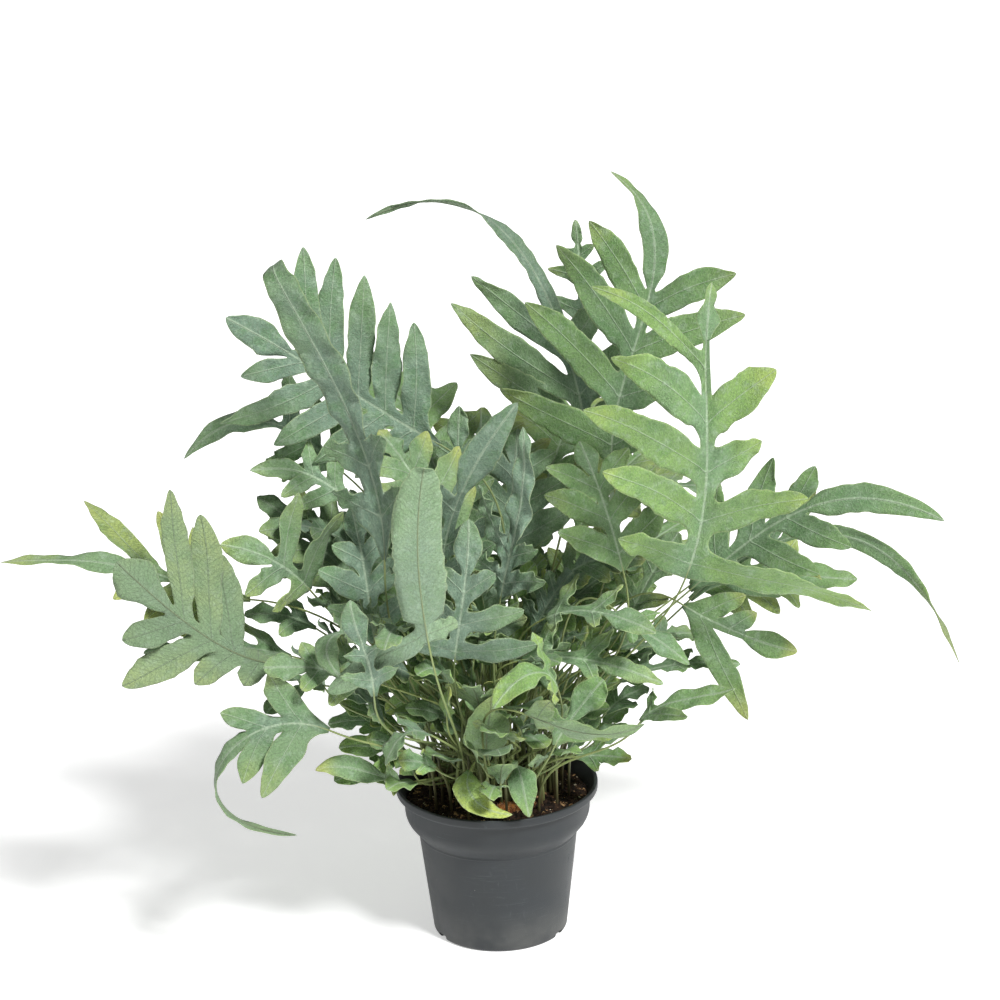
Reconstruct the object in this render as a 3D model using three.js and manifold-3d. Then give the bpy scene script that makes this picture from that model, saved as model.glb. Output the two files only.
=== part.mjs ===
// Blue star fern (Phlebodium) growing in a round nursery pot.
// Millimetres, +Z up, -Y to the front. The origin is the centre of the pot's flat base.
// The plant is a pot, its soil, creeping rhizomes and one solid for each frond. A frond is a thin stipe
// that stands in its own hole in the soil and a blade cut almost to the rib into strap-shaped lobes.
import * as THREE from "three";
import { mergeVertices } from "three/addons/utils/BufferGeometryUtils.js";
import Module from "manifold-3d";

const wasm = await Module();
wasm.setup();

// ---- Driving dimensions ----------------------------------------------------------------------------

const GAP = 0.4; // air between two solids that touch in the real plant
const CLEAR = 0.6; // least air between two fronds

const POT = { height: 148, rimRadius: 95, baseRadius: 63.4, wall: 2, floor: 3, sides: 28 };
const BODY_TOP = { radius: 75.1, z: 101.5 }; // where the pot's plain lower body ends
const COLLAR = { radius: 85.8, z: 121, topRadius: 88, topZ: 138 }; // the wider band under the rim
const NOTCH = { count: 3, width: 12, height: 5, depth: 12, firstDegrees: -30 };
const SOIL = { edge: 133, crown: 139, edgeRadius: 84.9 };

const STIPE = { foot: 1.8, neck: 1.3, sunk: 13, straight: 4 };
const HOLE = { radius: 4.4, depth: STIPE.sunk + GAP, sides: 3 }; // three-sided, round a stipe's foot
const STUMP = { radius: 5.4, ring: 3.4, sunk: STIPE.sunk + GAP, sides: 8, hole: 6.4 };
const FEET = { count: 72, radius: 70, turn: 137.508, tried: 24 };
const BLADE = 0.8; // blade thickness
const NECK_WING = 2.6; // half the blade's width where the stipe ends
const BEND_STEP = 5; // a frond is bent clear of the others in steps of this length
const MOST_BEND = 14;

const COLOUR = {
  pot: 0x45484a,
  soil: 0x34271f,
  rhizome: 0x9a5a2a,
  blue: 0x7d9a86,
  green: 0x8fae7c,
  lime: 0xb4c56c,
};

// ---- Small tools -----------------------------------------------------------------------------------

const vec = (a) => new THREE.Vector3(...a);
const radians = THREE.MathUtils.degToRad;
const mix = THREE.MathUtils.lerp;

// A repeatable number from 0 to 1 for a seed.
function chance(seed) {
  const wide = Math.sin(seed * 12.9898 + 4.1414) * 43758.5453;
  return wide - Math.floor(wide);
}

function solidFrom(geometry) {
  const bare = geometry.clone();
  for (const name of Object.keys(bare.attributes)) if (name !== "position") bare.deleteAttribute(name);
  const merged = mergeVertices(bare, 1e-3);
  return new wasm.Manifold(
    new wasm.Mesh({
      numProp: 3,
      vertProperties: new Float32Array(merged.attributes.position.array),
      triVerts: new Uint32Array(merged.index.array),
    }),
  );
}

function geometryFrom(solid) {
  const mesh = solid.getMesh();
  return new THREE.BufferGeometry()
    .setAttribute("position", new THREE.BufferAttribute(mesh.vertProperties, 3))
    .setIndex(new THREE.BufferAttribute(mesh.triVerts, 1));
}

// A profile of [radius, height] points turned about +Z. It runs up the outside and down the inside.
function turned(profile, sides) {
  const lathe = new THREE.LatheGeometry(profile.map(([r, z]) => new THREE.Vector2(r, z)), sides);
  return lathe.rotateX(Math.PI / 2);
}

function node(name, solid, colour, roughness) {
  const material = new THREE.MeshStandardMaterial({ color: colour, roughness, metalness: 0 });
  const mesh = new THREE.Mesh(geometryFrom(solid), material);
  mesh.name = name;
  return mesh;
}

// ---- Pot and soil ----------------------------------------------------------------------------------

function potSolid() {
  const { height, rimRadius, baseRadius, wall, floor, sides } = POT;
  const shell = turned(
    [
      [0, 0],
      [baseRadius - 2, 0],
      [baseRadius, 2],
      [BODY_TOP.radius, BODY_TOP.z],
      [COLLAR.radius, COLLAR.z],
      [COLLAR.topRadius, COLLAR.topZ],
      [rimRadius, COLLAR.topZ + 1.2 * wall],
      [rimRadius, height],
      [rimRadius - 1.5 * wall, height],
      [COLLAR.topRadius - wall, COLLAR.topZ - wall],
      [COLLAR.radius - wall, COLLAR.z],
      [BODY_TOP.radius - wall, BODY_TOP.z + 0.2 * wall],
      [baseRadius - wall, floor],
      [0, floor],
    ],
    sides,
  );
  const notches = Array.from({ length: NOTCH.count }, (_, i) => {
    const box = new THREE.BoxGeometry(NOTCH.depth, NOTCH.width, 2 * NOTCH.height);
    box.translate(baseRadius, 0, 0);
    box.rotateZ(radians(NOTCH.firstDegrees + (360 / NOTCH.count) * i));
    return solidFrom(box);
  });
  return notches.reduce((solid, notch) => solid.subtract(notch), solidFrom(shell));
}

// Height of the soil at a distance from the pot's axis.
function soilHeight(radius) {
  const share = Math.min(radius / SOIL.edgeRadius, 1);
  return mix(SOIL.crown, SOIL.edge, share * share);
}

function soilSolid() {
  const { baseRadius, wall, floor, sides } = POT;
  const inside = wall + GAP;
  const top = [SOIL.edgeRadius, 42].map((r) => [r, soilHeight(r)]);
  return solidFrom(
    turned(
      [
        [0, floor + GAP],
        [baseRadius - inside, floor + GAP],
        [BODY_TOP.radius - inside, BODY_TOP.z + 2 * GAP],
        [COLLAR.radius - inside, COLLAR.z + GAP],
        ...top,
        [0, SOIL.crown],
      ],
      sides,
    ),
  );
}

// ---- Rhizomes: furry creeping stems, half sunk in the soil ------------------------------------------

const RHIZOMES = [
  { name: "rhizome_front", centre: [14, -44], degrees: 20, length: 44, radius: 7 },
  { name: "rhizome_back", centre: [34, 40], degrees: -35, length: 46, radius: 7 },
];

function rhizomeSolid({ centre: [x, y], degrees, length, radius }, grow = 0) {
  const stations = 6;
  const profile = Array.from({ length: stations + 1 }, (_, i) => {
    const along = i / stations;
    const swell = Math.pow(Math.sin(Math.PI * along), 0.45) * (1 + 0.12 * Math.sin(9 * along));
    return [i % stations ? radius * swell + grow : 0, (along - 0.5) * (length + 2 * grow)];
  });
  const body = turned(profile, 10);
  body.rotateY(Math.PI / 2).rotateZ(radians(degrees));
  body.translate(x, y, soilHeight(Math.hypot(x, y)) + 1);
  return solidFrom(body);
}

// ---- Fronds: the curves that both faces of a blade follow -------------------------------------------

// A cubic through four points, reached at 0, 1/3, 2/3 and 1.
function through(points, t) {
  const weights = [
    -4.5 * (t - 1 / 3) * (t - 2 / 3) * (t - 1),
    13.5 * t * (t - 2 / 3) * (t - 1),
    -13.5 * t * (t - 1 / 3) * (t - 1),
    4.5 * t * (t - 1 / 3) * (t - 2 / 3),
  ];
  return points.reduce((sum, p, i) => sum.addScaledVector(p, weights[i]), new THREE.Vector3());
}

// Place, direction, upper side and right-hand side of the rib at t, from 0 at the neck to 1 at the tip.
function ribAt(frond, t) {
  const at = through(frond.rib, t);
  const along = through(frond.rib, t + 0.01).sub(through(frond.rib, t - 0.01)).normalize();
  const up = frond.face.clone().addScaledVector(along, -frond.face.dot(along)).normalize();
  const start = tipStart(frond);
  const turn = radians(frond.twist) * Math.max(0, (t - start) / (1 - start));
  up.applyAxisAngle(along, turn);
  return { at, along, up, right: along.clone().cross(up) };
}

// Place along the rib of the cut below lobe number index. The end lobe starts at the last cut.
function cutAt({ lobes }, index) {
  if (!index) return 0;
  const below = lobes[index - 1][0];
  if (index < lobes.length) return (below + lobes[index][0]) / 2;
  return below + Math.min(0.11, below - cutAt({ lobes }, index - 1));
}

const tipStart = (frond) => cutAt(frond, frond.lobes.length);

// Share of a lobe's full width at a share of its length: widest at a third, then tapering to the tip.
function widthShare(q, blunt) {
  return Math.pow(Math.sin(Math.PI * (0.25 + 0.75 * q)), blunt);
}

// Lift of a blade's margin: a shallow gutter, and the wave along the edge.
function marginLift(frond, q, v, width, phase) {
  const wave = frond.wave * Math.sin(2 * Math.PI * (frond.waves * q + phase + 0.31 * v));
  return Math.abs(v) * (frond.cup * width * Math.abs(v) + wave);
}

// A point on a side lobe: q runs from the rib to its tip, v from -1 to 1 across it.
function lobePoint(frond, index, side, q, v) {
  const [t, leftLength, leftAngle, rightLength, rightAngle] = frond.lobes[index];
  const length = side < 0 ? leftLength : rightLength;
  const angle = radians(side < 0 ? leftAngle : rightAngle);
  const { at, along, up, right } = ribAt(frond, t);
  const fold = radians(frond.fold);
  const outward = right.clone().multiplyScalar(side * Math.cos(fold));
  outward.addScaledVector(up, Math.sin(fold));
  const start = along.clone().multiplyScalar(Math.cos(angle)).addScaledVector(outward, Math.sin(angle));
  const sway = 0.7 * (chance(frond.seed + 7 * index + side) - 0.5);
  const bend = up.clone().multiplyScalar(-frond.curl * (1 + sway));
  bend.z -= frond.sag;
  const reach = length * q;
  const middle = at.addScaledVector(start, reach).addScaledVector(bend, (reach * reach) / 100);
  const heading = start.clone().addScaledVector(bend, reach / 50).normalize();
  const face = up.clone().multiplyScalar(Math.cos(fold)).addScaledVector(right, -side * Math.sin(fold));
  face.addScaledVector(heading, -face.dot(heading)).normalize();
  const across = heading.clone().cross(face);
  // A lobe is never so wide that it meets the next one across the cut between them.
  const last = index === frond.lobes.length - 1;
  const above = (last ? 0.8 : 1) * (cutAt(frond, index + 1) - t);
  const room = v * side < 0 ? above : index ? t - cutAt(frond, index) : 1;
  const most = 0.86 * room * frond.length * Math.sin(angle);
  const full = Math.min(most, (frond.width / 2) * Math.min(1, 0.55 + length / 160));
  const width = full * widthShare(q, frond.blunt);
  const lift = marginLift(frond, q, v, width, chance(frond.seed + 3 * index + 11 * side));
  // Near the rib a row across the lobe lies along the rib, and towards the tip it turns square to the lobe.
  const skew = (-v * side * width * (1 - q)) / Math.tan(angle);
  middle.addScaledVector(across, v * width);
  return middle.addScaledVector(heading, skew).addScaledVector(face, lift);
}

// A point on the end lobe, which follows the rib to the frond's tip.
function tipPoint(frond, q, v) {
  const start = tipStart(frond);
  const { at, up, right } = ribAt(frond, mix(start, 1, q));
  const most = start ? frond.wing + 0.42 * q * (1 - start) * frond.length : frond.tip;
  const width = Math.min(most, (frond.tip / 2) * widthShare(q, frond.blunt));
  const lift = marginLift(frond, q, v, width, chance(frond.seed + 5));
  return at.addScaledVector(right, v * width).addScaledVector(up, lift);
}

// The bottom of the cut between lobe number index - 1 and lobe number index.
function sinus(frond, index, side) {
  const fold = radians(frond.fold);
  const { at, along, up, right } = ribAt(frond, cutAt(frond, index));
  const wing = index ? frond.wing : NECK_WING;
  at.addScaledVector(right, side * wing * Math.cos(fold)).addScaledVector(up, wing * Math.sin(fold));
  return at.addScaledVector(along, index ? 0.2 * wing : 0);
}

// The stipe's middle line, from the bottom of its hole to just under the blade.
function stipeLine(frond, steps) {
  const [x, y] = frond.foot;
  const ground = soilHeight(Math.hypot(x, y));
  const low = new THREE.Vector3(x, y, ground - STIPE.sunk);
  const high = new THREE.Vector3(x, y, ground + STIPE.straight);
  const { at: neck, along } = ribAt(frond, 0);
  const reach = 0.4 * neck.distanceTo(high);
  const end = neck.clone().addScaledVector(along, -3);
  const curve = new THREE.CubicBezierCurve3(
    high,
    high.clone().setZ(high.z + reach),
    end.clone().addScaledVector(along, -reach),
    end,
  );
  const line = [{ at: low, along: new THREE.Vector3(0, 0, 1) }];
  for (let i = 0; i <= steps; i++) {
    line.push({ at: curve.getPoint(i / steps), along: curve.getTangent(i / steps) });
  }
  return line;
}

// ---- Fronds: one closed solid each -------------------------------------------------------------------

// Collects the points and the triangles of a blade's middle surface, right-handed about its upper side.
class Sheet {
  points = [];
  faces = [];

  point(p) {
    return this.points.push(p) - 1;
  }

  face(flip, ...corners) {
    const ring = flip ? corners.reverse() : corners;
    for (let i = 2; i < ring.length; i++) this.faces.push([ring[0], ring[i - 1], ring[i]]);
  }

  // Normals averaged over the faces round each point.
  normals() {
    const sums = this.points.map(() => new THREE.Vector3());
    for (const [a, b, c] of this.faces) {
      const ab = this.points[b].clone().sub(this.points[a]);
      const ac = this.points[c].clone().sub(this.points[a]);
      const n = ab.cross(ac);
      for (const i of [a, b, c]) sums[i].add(n);
    }
    return sums.map((n) => n.normalize());
  }
}

// Adds one side lobe to the sheet: rows of low edge, middle and high edge, closed by its tip.
function addLobe(sheet, frond, index, side, ribPoint, low, high) {
  const flip = side < 0;
  const [, leftLength, leftAngle, rightLength, rightAngle] = frond.lobes[index];
  const [length, angle] = side < 0 ? [leftLength, leftAngle] : [rightLength, rightAngle];
  if (!length) {
    sheet.face(flip, ribPoint, low, high);
    return;
  }
  const first = (frond.wing + 5) / (length * Math.sin(radians(angle))); // clear of the cuts
  const rows = length < 50 || first > 0.5 ? [Math.max(0.55, first)] : [Math.max(0.34, first), 0.76];
  let [a, m, b] = [low, ribPoint, high];
  for (const q of rows) {
    const next = [side, 0, -side].map((v) => sheet.point(lobePoint(frond, index, side, q, v)));
    sheet.face(flip, m, a, next[0], next[1]);
    sheet.face(flip, m, next[1], next[2], b);
    [a, m, b] = next;
  }
  const tip = sheet.point(lobePoint(frond, index, side, 1, 0));
  sheet.face(flip, m, a, tip);
  sheet.face(flip, m, tip, b);
}

// The blade's middle surface. Points 0, 1 and 2 are the neck's left edge, middle and right edge.
function bladeSheet(frond) {
  const sheet = new Sheet();
  const cuts = new Map();
  cuts.set(-1, [sheet.point(sinus(frond, 0, -1))]);
  let rib = sheet.point(ribAt(frond, 0).at);
  cuts.set(1, [sheet.point(sinus(frond, 0, 1))]);
  frond.lobes.forEach(([t], index) => {
    const next = sheet.point(ribAt(frond, t).at);
    for (const side of [-1, 1]) {
      const low = cuts.get(side)[index];
      const high = sheet.point(sinus(frond, index + 1, side));
      cuts.get(side).push(high);
      sheet.face(side < 0, rib, low, next);
      addLobe(sheet, frond, index, side, next, low, high);
    }
    rib = next;
  });
  let [left, middle, right] = [cuts.get(-1).at(-1), rib, cuts.get(1).at(-1)];
  for (const q of frond.tipRows) {
    const next = [-1, 0, 1].map((v) => sheet.point(tipPoint(frond, q, v)));
    sheet.face(false, middle, right, next[2], next[1]);
    sheet.face(false, middle, next[1], next[0], left);
    [left, middle, right] = next;
  }
  const end = sheet.point(tipPoint(frond, 1, 0));
  sheet.face(false, middle, right, end);
  sheet.face(false, middle, end, left);
  return sheet;
}

// Thickens the blade, closes its margin and joins it to the stipe, a four-sided tube.
function frondSolid(frond) {
  const sheet = bladeSheet(frond);
  const normals = sheet.normals();
  const count = sheet.points.length;
  const points = [
    ...sheet.points.map((p, i) => p.clone().addScaledVector(normals[i], BLADE / 2)),
    ...sheet.points.map((p, i) => p.clone().addScaledVector(normals[i], -BLADE / 2)),
  ];
  const faces = [];
  const quad = (a, b, c, d) => faces.push([a, b, c], [a, c, d]);
  const used = new Set(sheet.faces.flatMap(([a, b, c]) => [`${a},${b}`, `${b},${c}`, `${c},${a}`]));
  for (const [a, b, c] of sheet.faces) {
    faces.push([a, b, c], [a + count, c + count, b + count]);
    for (const [p, q] of [[a, b], [b, c], [c, a]]) {
      const neck = p < 3 && q < 3;
      if (!neck && !used.has(`${q},${p}`)) quad(p, p + count, q + count, q);
    }
  }
  // Rings of left, upper, right and lower point, from the foot to the neck.
  const line = stipeLine(frond, frond.stipeSteps);
  let { up } = ribAt(frond, 0);
  const rings = line.toReversed().map(({ at, along }, i) => {
    up = up.clone().addScaledVector(along, -up.dot(along)).normalize();
    const radius = mix(STIPE.neck, STIPE.foot, i / (line.length - 1));
    const right = along.clone().cross(up);
    const around = [right.clone().negate(), up, right, up.clone().negate()];
    return around.map((way) => points.push(at.clone().addScaledVector(way, radius)) - 1);
  });
  rings.reverse();
  for (let k = 1; k < rings.length; k++) {
    const [lower, higher] = [rings[k - 1], rings[k]];
    for (let j = 0; j < 4; j++) quad(lower[j], lower[(j + 1) % 4], higher[(j + 1) % 4], higher[j]);
  }
  const [footLeft, footUp, footRight, footDown] = rings[0];
  faces.push([footUp, footLeft, footDown], [footUp, footDown, footRight]);
  const [left, upper, right, lower] = rings.at(-1);
  const [l, m, r] = [0, 1, 2];
  quad(left, upper, m, l);
  quad(upper, right, r, m);
  faces.push([right, r + count, r]);
  quad(right, lower, m + count, r + count);
  quad(lower, left, l + count, m + count);
  faces.push([left, l, l + count]);

  const geometry = new THREE.BufferGeometry();
  const places = points.flatMap((p) => p.toArray());
  geometry.setAttribute("position", new THREE.Float32BufferAttribute(places, 3));
  geometry.setIndex(faces.flat());
  return solidFrom(geometry);
}

// ---- Fronds: the plant's own, placed by hand ---------------------------------------------------------
// rib: the blade's middle line through four points, from its neck to its tip.
// face: the way its upper side looks. lobes: [place on the rib, left length, left angle, right length,
// right angle] from the neck up. Or pairs, lobe and sweep: how many, how long and at what angle.

const FRONT = [0, -1, 0.35];

const PLACED = [
  {
    name: "right_front", face: [0.1, -1, 0.3], width: 35, tip: 22, sag: 0.16, curl: 0.1, twist: 60,
    rib: [[175, -70, 371], [192, -100, 471], [193, -95, 559], [200, -70, 645]],
    lobes: [[0.05, 84, 66, 165, 76], [0.2, 125, 54, 104, 58], [0.37, 150, 50, 60, 52],
      [0.54, 122, 45, 84, 48], [0.72, 150, 44, 0, 0]],
  },
  {
    name: "right_top", face: [-0.1, -1, 0.3], width: 31, tip: 24, sag: 0.08, curl: 0.12, twist: 70,
    rib: [[114, 10, 449], [131, 20, 547], [156, 40, 639], [118, 60, 716]],
    lobes: [[0.08, 122, 62, 50, 58], [0.23, 134, 56, 60, 54], [0.37, 132, 51, 112, 50],
      [0.5, 104, 46, 92, 50]],
  },
  {
    name: "top_young", face: FRONT, width: 15, tip: 10, sag: 0.02, curl: 0.06,
    rib: [[93, 120, 546], [92, 125, 588], [90, 130, 621], [87, 135, 654]],
    lobes: [[0.16, 38, 60, 40, 60], [0.44, 34, 68, 36, 62], [0.66, 16, 66, 18, 60]],
  },
  {
    name: "top_tail", face: [-0.1, -1, 0.2], width: 30, tip: 19, sag: 0.02, curl: 0.05, twist: 150,
    rib: [[97, 70, 444], [74, 90, 548], [14, 110, 656], [-107, 110, 665]],
    lobes: [[0.09, 134, 44, 70, 60], [0.2, 150, 40, 74, 56], [0.31, 116, 34, 56, 50]],
  },
  {
    name: "left_edge", face: [-0.55, -0.8, 0.3], width: 26, tip: 44, wing: 17, fold: 20, twist: 30,
    sag: 0.05, blunt: 0.4,
    rib: [[-95, -60, 392], [-109, -50, 489], [-147, -50, 585], [-191, -60, 680]],
    lobes: [[0.14, 50, 56, 46, 54], [0.3, 44, 50, 44, 48]],
  },
  {
    name: "left_fan", face: [0.05, -1, 0.12], width: 27, tip: 30, sag: 0.01, curl: 0.08, blunt: 0.75,
    rib: [[-44, 40, 468], [-109, 40, 511], [-170, 30, 557], [-233, 20, 600]],
    lobes: [[0.12, 70, 70, 104, 60], [0.25, 80, 66, 108, 60], [0.38, 90, 62, 118, 59],
      [0.51, 110, 54, 118, 58], [0.64, 60, 44, 112, 56]],
  },
  {
    name: "left_low", face: [0.12, 0.9, -0.5], width: 32, tip: 44, sag: 0.06, curl: -0.06,
    rib: [[-199, -90, 308], [-238, -110, 331], [-281, -130, 374], [-326, -140, 426]],
    lobes: [[0.1, 0, 0, 26, 72], [0.28, 92, 62, 44, 66], [0.43, 118, 56, 86, 60], [0.6, 124, 48, 56, 56]],
  },
  {
    name: "left_far", face: [0, -0.75, 0.65], width: 22, tip: 20, sag: 0.06, curl: 0.1, twist: 50,
    rib: [[-221, -20, 343], [-273, -40, 366], [-333, -60, 394], [-437, -80, 407]],
    lobes: [[0.2, 60, 60, 66, 60], [0.36, 62, 54, 74, 52], [0.52, 52, 44, 96, 34]],
  },
  {
    name: "left_curl", face: [0.1, -0.9, 0.4], width: 30, tip: 17, sag: 0.1, curl: 0.05, twist: 170,
    rib: [[-149, -110, 249], [-223, -130, 252], [-250, -140, 202], [-179, -150, 165]],
    lobes: [[0.1, 74, 62, 60, 52], [0.24, 52, 48, 44, 40]],
  },
  {
    name: "centre_pale", face: [-0.05, 1, -0.1], width: 28, tip: 50, sag: 0.12, curl: 0.04,
    blunt: 0.35, twist: 0,
    rib: [[-56, -150, 346], [-61, -160, 396], [-62, -163, 446], [-57, -158, 496]],
    lobes: [[0.06, 30, 80, 104, 112]],
  },
  {
    name: "centre_blue", face: [0.3, -1, 0.3], width: 26, tip: 30, sag: 0.03, curl: 0.1,
    rib: [[-47, -40, 345], [-37, -60, 419], [-11, -70, 483], [28, -70, 540]],
    lobes: [[0.12, 54, 56, 60, 54], [0.26, 62, 54, 54, 50], [0.43, 44, 52, 0, 0]],
  },
  {
    name: "centre_wavy", face: [-0.5, -1, 0.2], width: 24, tip: 22, sag: 0.03, curl: 0.06,
    wave: 3.4, waves: 2.4,
    rib: [[8, -90, 362], [20, -100, 417], [30, -105, 470], [32, -100, 527]],
    lobes: [[0.1, 46, 62, 50, 60], [0.26, 74, 36, 36, 50]],
  },
  {
    name: "centre_round", face: FRONT, width: 25, tip: 24, sag: 0.06, curl: 0.12, blunt: 0.5,
    rib: [[-34, -110, 314], [-28, -125, 357], [-21, -130, 406], [-18, -125, 451]],
    lobes: [[0.08, 50, 70, 78, 66], [0.3, 42, 56, 64, 60], [0.52, 34, 46, 36, 46]],
  },
  {
    name: "left_cup", face: [0.1, -0.9, 0.4], width: 24, tip: 26, sag: 0.02, curl: -0.12, blunt: 0.55,
    rib: [[-166, -20, 351], [-186, -40, 380], [-212, -50, 399], [-242, -60, 411]],
    lobes: [[0.1, 44, 66, 84, 58], [0.36, 50, 58, 74, 60]],
  },
  {
    name: "left_wavy", face: [0, -0.8, 0.6], width: 19, tip: 21, sag: 0.05, curl: 0.05,
    wave: 3.2, waves: 2.6,
    rib: [[-139, 80, 433], [-170, 80, 463], [-220, 80, 484], [-283, 70, 451]],
    lobes: [[0.12, 54, 62, 60, 62], [0.3, 50, 60, 46, 62], [0.44, 0, 0, 60, 62]],
  },
  {
    name: "right_long", face: [0, -0.85, 0.55], width: 27, tip: 27, sag: 0.04, curl: 0.08, twist: 30,
    rib: [[185, 30, 322], [247, 20, 378], [322, 10, 414], [417, 0, 394]],
    lobes: [[0.14, 80, 48, 70, 60], [0.3, 84, 38, 76, 58], [0.46, 56, 34, 70, 50]],
  },
  {
    name: "right_tail", face: [0.1, -0.8, 0.6], width: 15, tip: 19, sag: 0.08, curl: 0.06,
    wave: 2.6, twist: 110,
    rib: [[188, 80, 294], [264, 80, 347], [357, 70, 348], [441, 50, 233]],
    lobes: [[0.14, 66, 50, 60, 56], [0.33, 70, 46, 62, 54], [0.39, 56, 44, 0, 0]],
  },
  {
    name: "right_low", face: [0, -0.8, 0.6], width: 26, tip: 26, sag: 0.05, curl: 0.05,
    rib: [[175, -30, 330], [203, -40, 316], [239, -50, 302], [277, -60, 293]],
    lobes: [[0.2, 46, 54, 104, 38], [0.46, 30, 56, 0, 0]],
  },
  {
    name: "right_back", face: [0, -0.6, 0.8], width: 26, tip: 28, sag: 0.08, curl: 0.08,
    rib: [[191, 120, 294], [239, 130, 304], [297, 130, 298], [353, 130, 292]],
    lobes: [[0.1, 56, 60, 70, 72], [0.3, 62, 57, 66, 57], [0.49, 48, 54, 52, 55]],
  },
  {
    name: "right_small", face: [0.2, -0.6, 0.8], width: 18, tip: 24, sag: 0.05, curl: 0.05,
    rib: [[114, -60, 336], [133, -70, 324], [155, -80, 311], [177, -85, 293]],
    lobes: [[0.2, 30, 58, 26, 50]],
  },
  {
    name: "right_flat", face: [0.1, -0.5, 0.85], width: 14, tip: 22, sag: 0, curl: 0.05,
    rib: [[131, -110, 249], [153, -120, 269], [184, -125, 278], [215, -130, 287]],
    lobes: [[0.14, 24, 56, 62, 38]],
  },
  {
    name: "front_pale", face: [0.1, 0.7, 0.6], width: 26, tip: 26, sag: 0, curl: 0.04,
    rib: [[27, -150, 276], [58, -160, 267], [93, -160, 259], [133, -155, 266]],
    lobes: [[0.12, 30, 74, 34, 70]],
  },
  {
    name: "front_green", face: [0.3, -0.7, 0.6], width: 26, tip: 28, sag: 0.02, curl: 0.08, blunt: 0.55,
    rib: [[54, -110, 229], [68, -120, 257], [86, -125, 283], [98, -125, 297]],
    lobes: [[0.22, 36, 64, 50, 58]],
  },
  {
    name: "front_broad", face: [0, 1, 0.2], width: 20, tip: 42, sag: 0, blunt: 0.6,
    rib: [[-7, -100, 196], [-8, -110, 221], [-5, -112, 241], [-2, -110, 263]],
  },
  {
    name: "front_arch", face: [0.1, -0.5, 0.85], width: 22, wing: 7.8, fold: 6, tip: 28,
    sag: 0.02, curl: 0.06, blunt: 0.55,
    rib: [[56, -118, 280], [43, -134, 302], [22, -146, 301], [-2, -152, 276]],
    lobes: [[0.2, 46, 66, 44, 64]],
  },
  {
    name: "front_yellow", face: [0.3, -0.6, 0.7], width: 16, tip: 30, sag: 0, blunt: 0.8,
    rib: [[-24, -92, 198], [-25, -110, 186], [-11, -117, 172], [14, -120, 166]],
  },
  {
    name: "front_point", face: [0.2, -0.9, 0.4], width: 16, tip: 27, sag: 0, blunt: 0.8,
    rib: [[19, -84, 198], [23, -100, 190], [26, -107, 174], [29, -109, 158]],
  },
  {
    name: "left_pale", face: [-0.5, -0.35, 0.8], width: 22, tip: 26, sag: 0.02, blunt: 0.55,
    rib: [[-50, -110, 232], [-67, -120, 240], [-81, -125, 232], [-91, -130, 212]],
    lobes: [[0.26, 26, 66, 28, 66]],
  },
  {
    name: "left_tongue", face: [0, -0.7, 0.7], width: 18, tip: 24, sag: 0,
    rib: [[-89, -60, 177], [-111, -80, 194], [-137, -90, 206], [-164, -100, 208]],
    lobes: [[0.1, 22, 60, 20, 60]],
  },
  {
    name: "left_mid", face: [-0.45, -0.5, 0.75], width: 22, tip: 25, sag: 0.02, curl: 0.1, blunt: 0.6,
    rib: [[-118, -100, 331], [-138, -115, 343], [-147, -127, 333], [-135, -135, 310]],
    lobes: [[0.14, 28, 60, 26, 60]],
  },
  {
    name: "left_bud", face: [0.1, -1, 0.2], width: 18, tip: 25, sag: 0, blunt: 0.6,
    rib: [[-109, -110, 287], [-113, -120, 325], [-121, -125, 355], [-126, -125, 384]],
    lobes: [[0.14, 32, 62, 28, 64], [0.38, 22, 62, 20, 62]],
  },
  {
    name: "left_high", face: [0, -0.8, 0.6], width: 20, tip: 20, sag: 0.03, curl: 0.05,
    rib: [[-128, 20, 423], [-154, 20, 443], [-181, 20, 454], [-218, 15, 456]],
    lobes: [[0.16, 46, 58, 40, 58], [0.42, 38, 58, 34, 58]],
  },
];

// ---- Fronds: those between and behind them -----------------------------------------------------------
// neck: where the blade starts. heading: the way it leans, in degrees from +X towards +Y. rise: degrees
// above the horizontal at the neck. droop: how far the tip sinks, as a share of the blade's length.

const BETWEEN = [
  { name: "mid_left", neck: [-105, -62, 312], heading: 115, rise: 80,
    length: 140, droop: 0.1, pairs: 3, lobe: 58 },
  { name: "mid_low", neck: [-70, -75, 262], heading: 200, rise: 62,
    length: 105, droop: 0.2, pairs: 2, lobe: 44 },
  { name: "left_behind", neck: [-135, 25, 325], heading: 165, rise: 55,
    length: 140, droop: 0.2, pairs: 3, lobe: 72 },
  { name: "left_under", neck: [-185, -5, 285], heading: 195, rise: 22,
    length: 135, droop: 0.2, pairs: 3, lobe: 64 },
  { name: "left_inner", neck: [-66, 30, 355], heading: 150, rise: 65,
    length: 150, droop: 0.2, pairs: 3, lobe: 78 },
  { name: "centre_lime", neck: [-28, 45, 398], heading: 95, rise: 78,
    length: 110, droop: 0.1, pairs: 2, lobe: 54 },
  { name: "centre_dark", neck: [18, 40, 350], heading: 80, rise: 72,
    length: 150, droop: 0.2, pairs: 3, lobe: 84 },
  { name: "centre_low", neck: [-5, -20, 290], heading: 250, rise: 76,
    length: 110, droop: 0.2, pairs: 2, lobe: 56 },
  { name: "right_inner", neck: [98, 0, 350], heading: 125, rise: 68,
    length: 145, droop: 0.2, pairs: 3, lobe: 84 },
  { name: "right_dark", neck: [62, 20, 292], heading: 60, rise: 55,
    length: 130, droop: 0.3, pairs: 3, lobe: 72 },
  { name: "right_mid", neck: [112, -22, 262], heading: -12, rise: 30,
    length: 110, droop: 0.3, pairs: 2, lobe: 44 },
];

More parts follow.
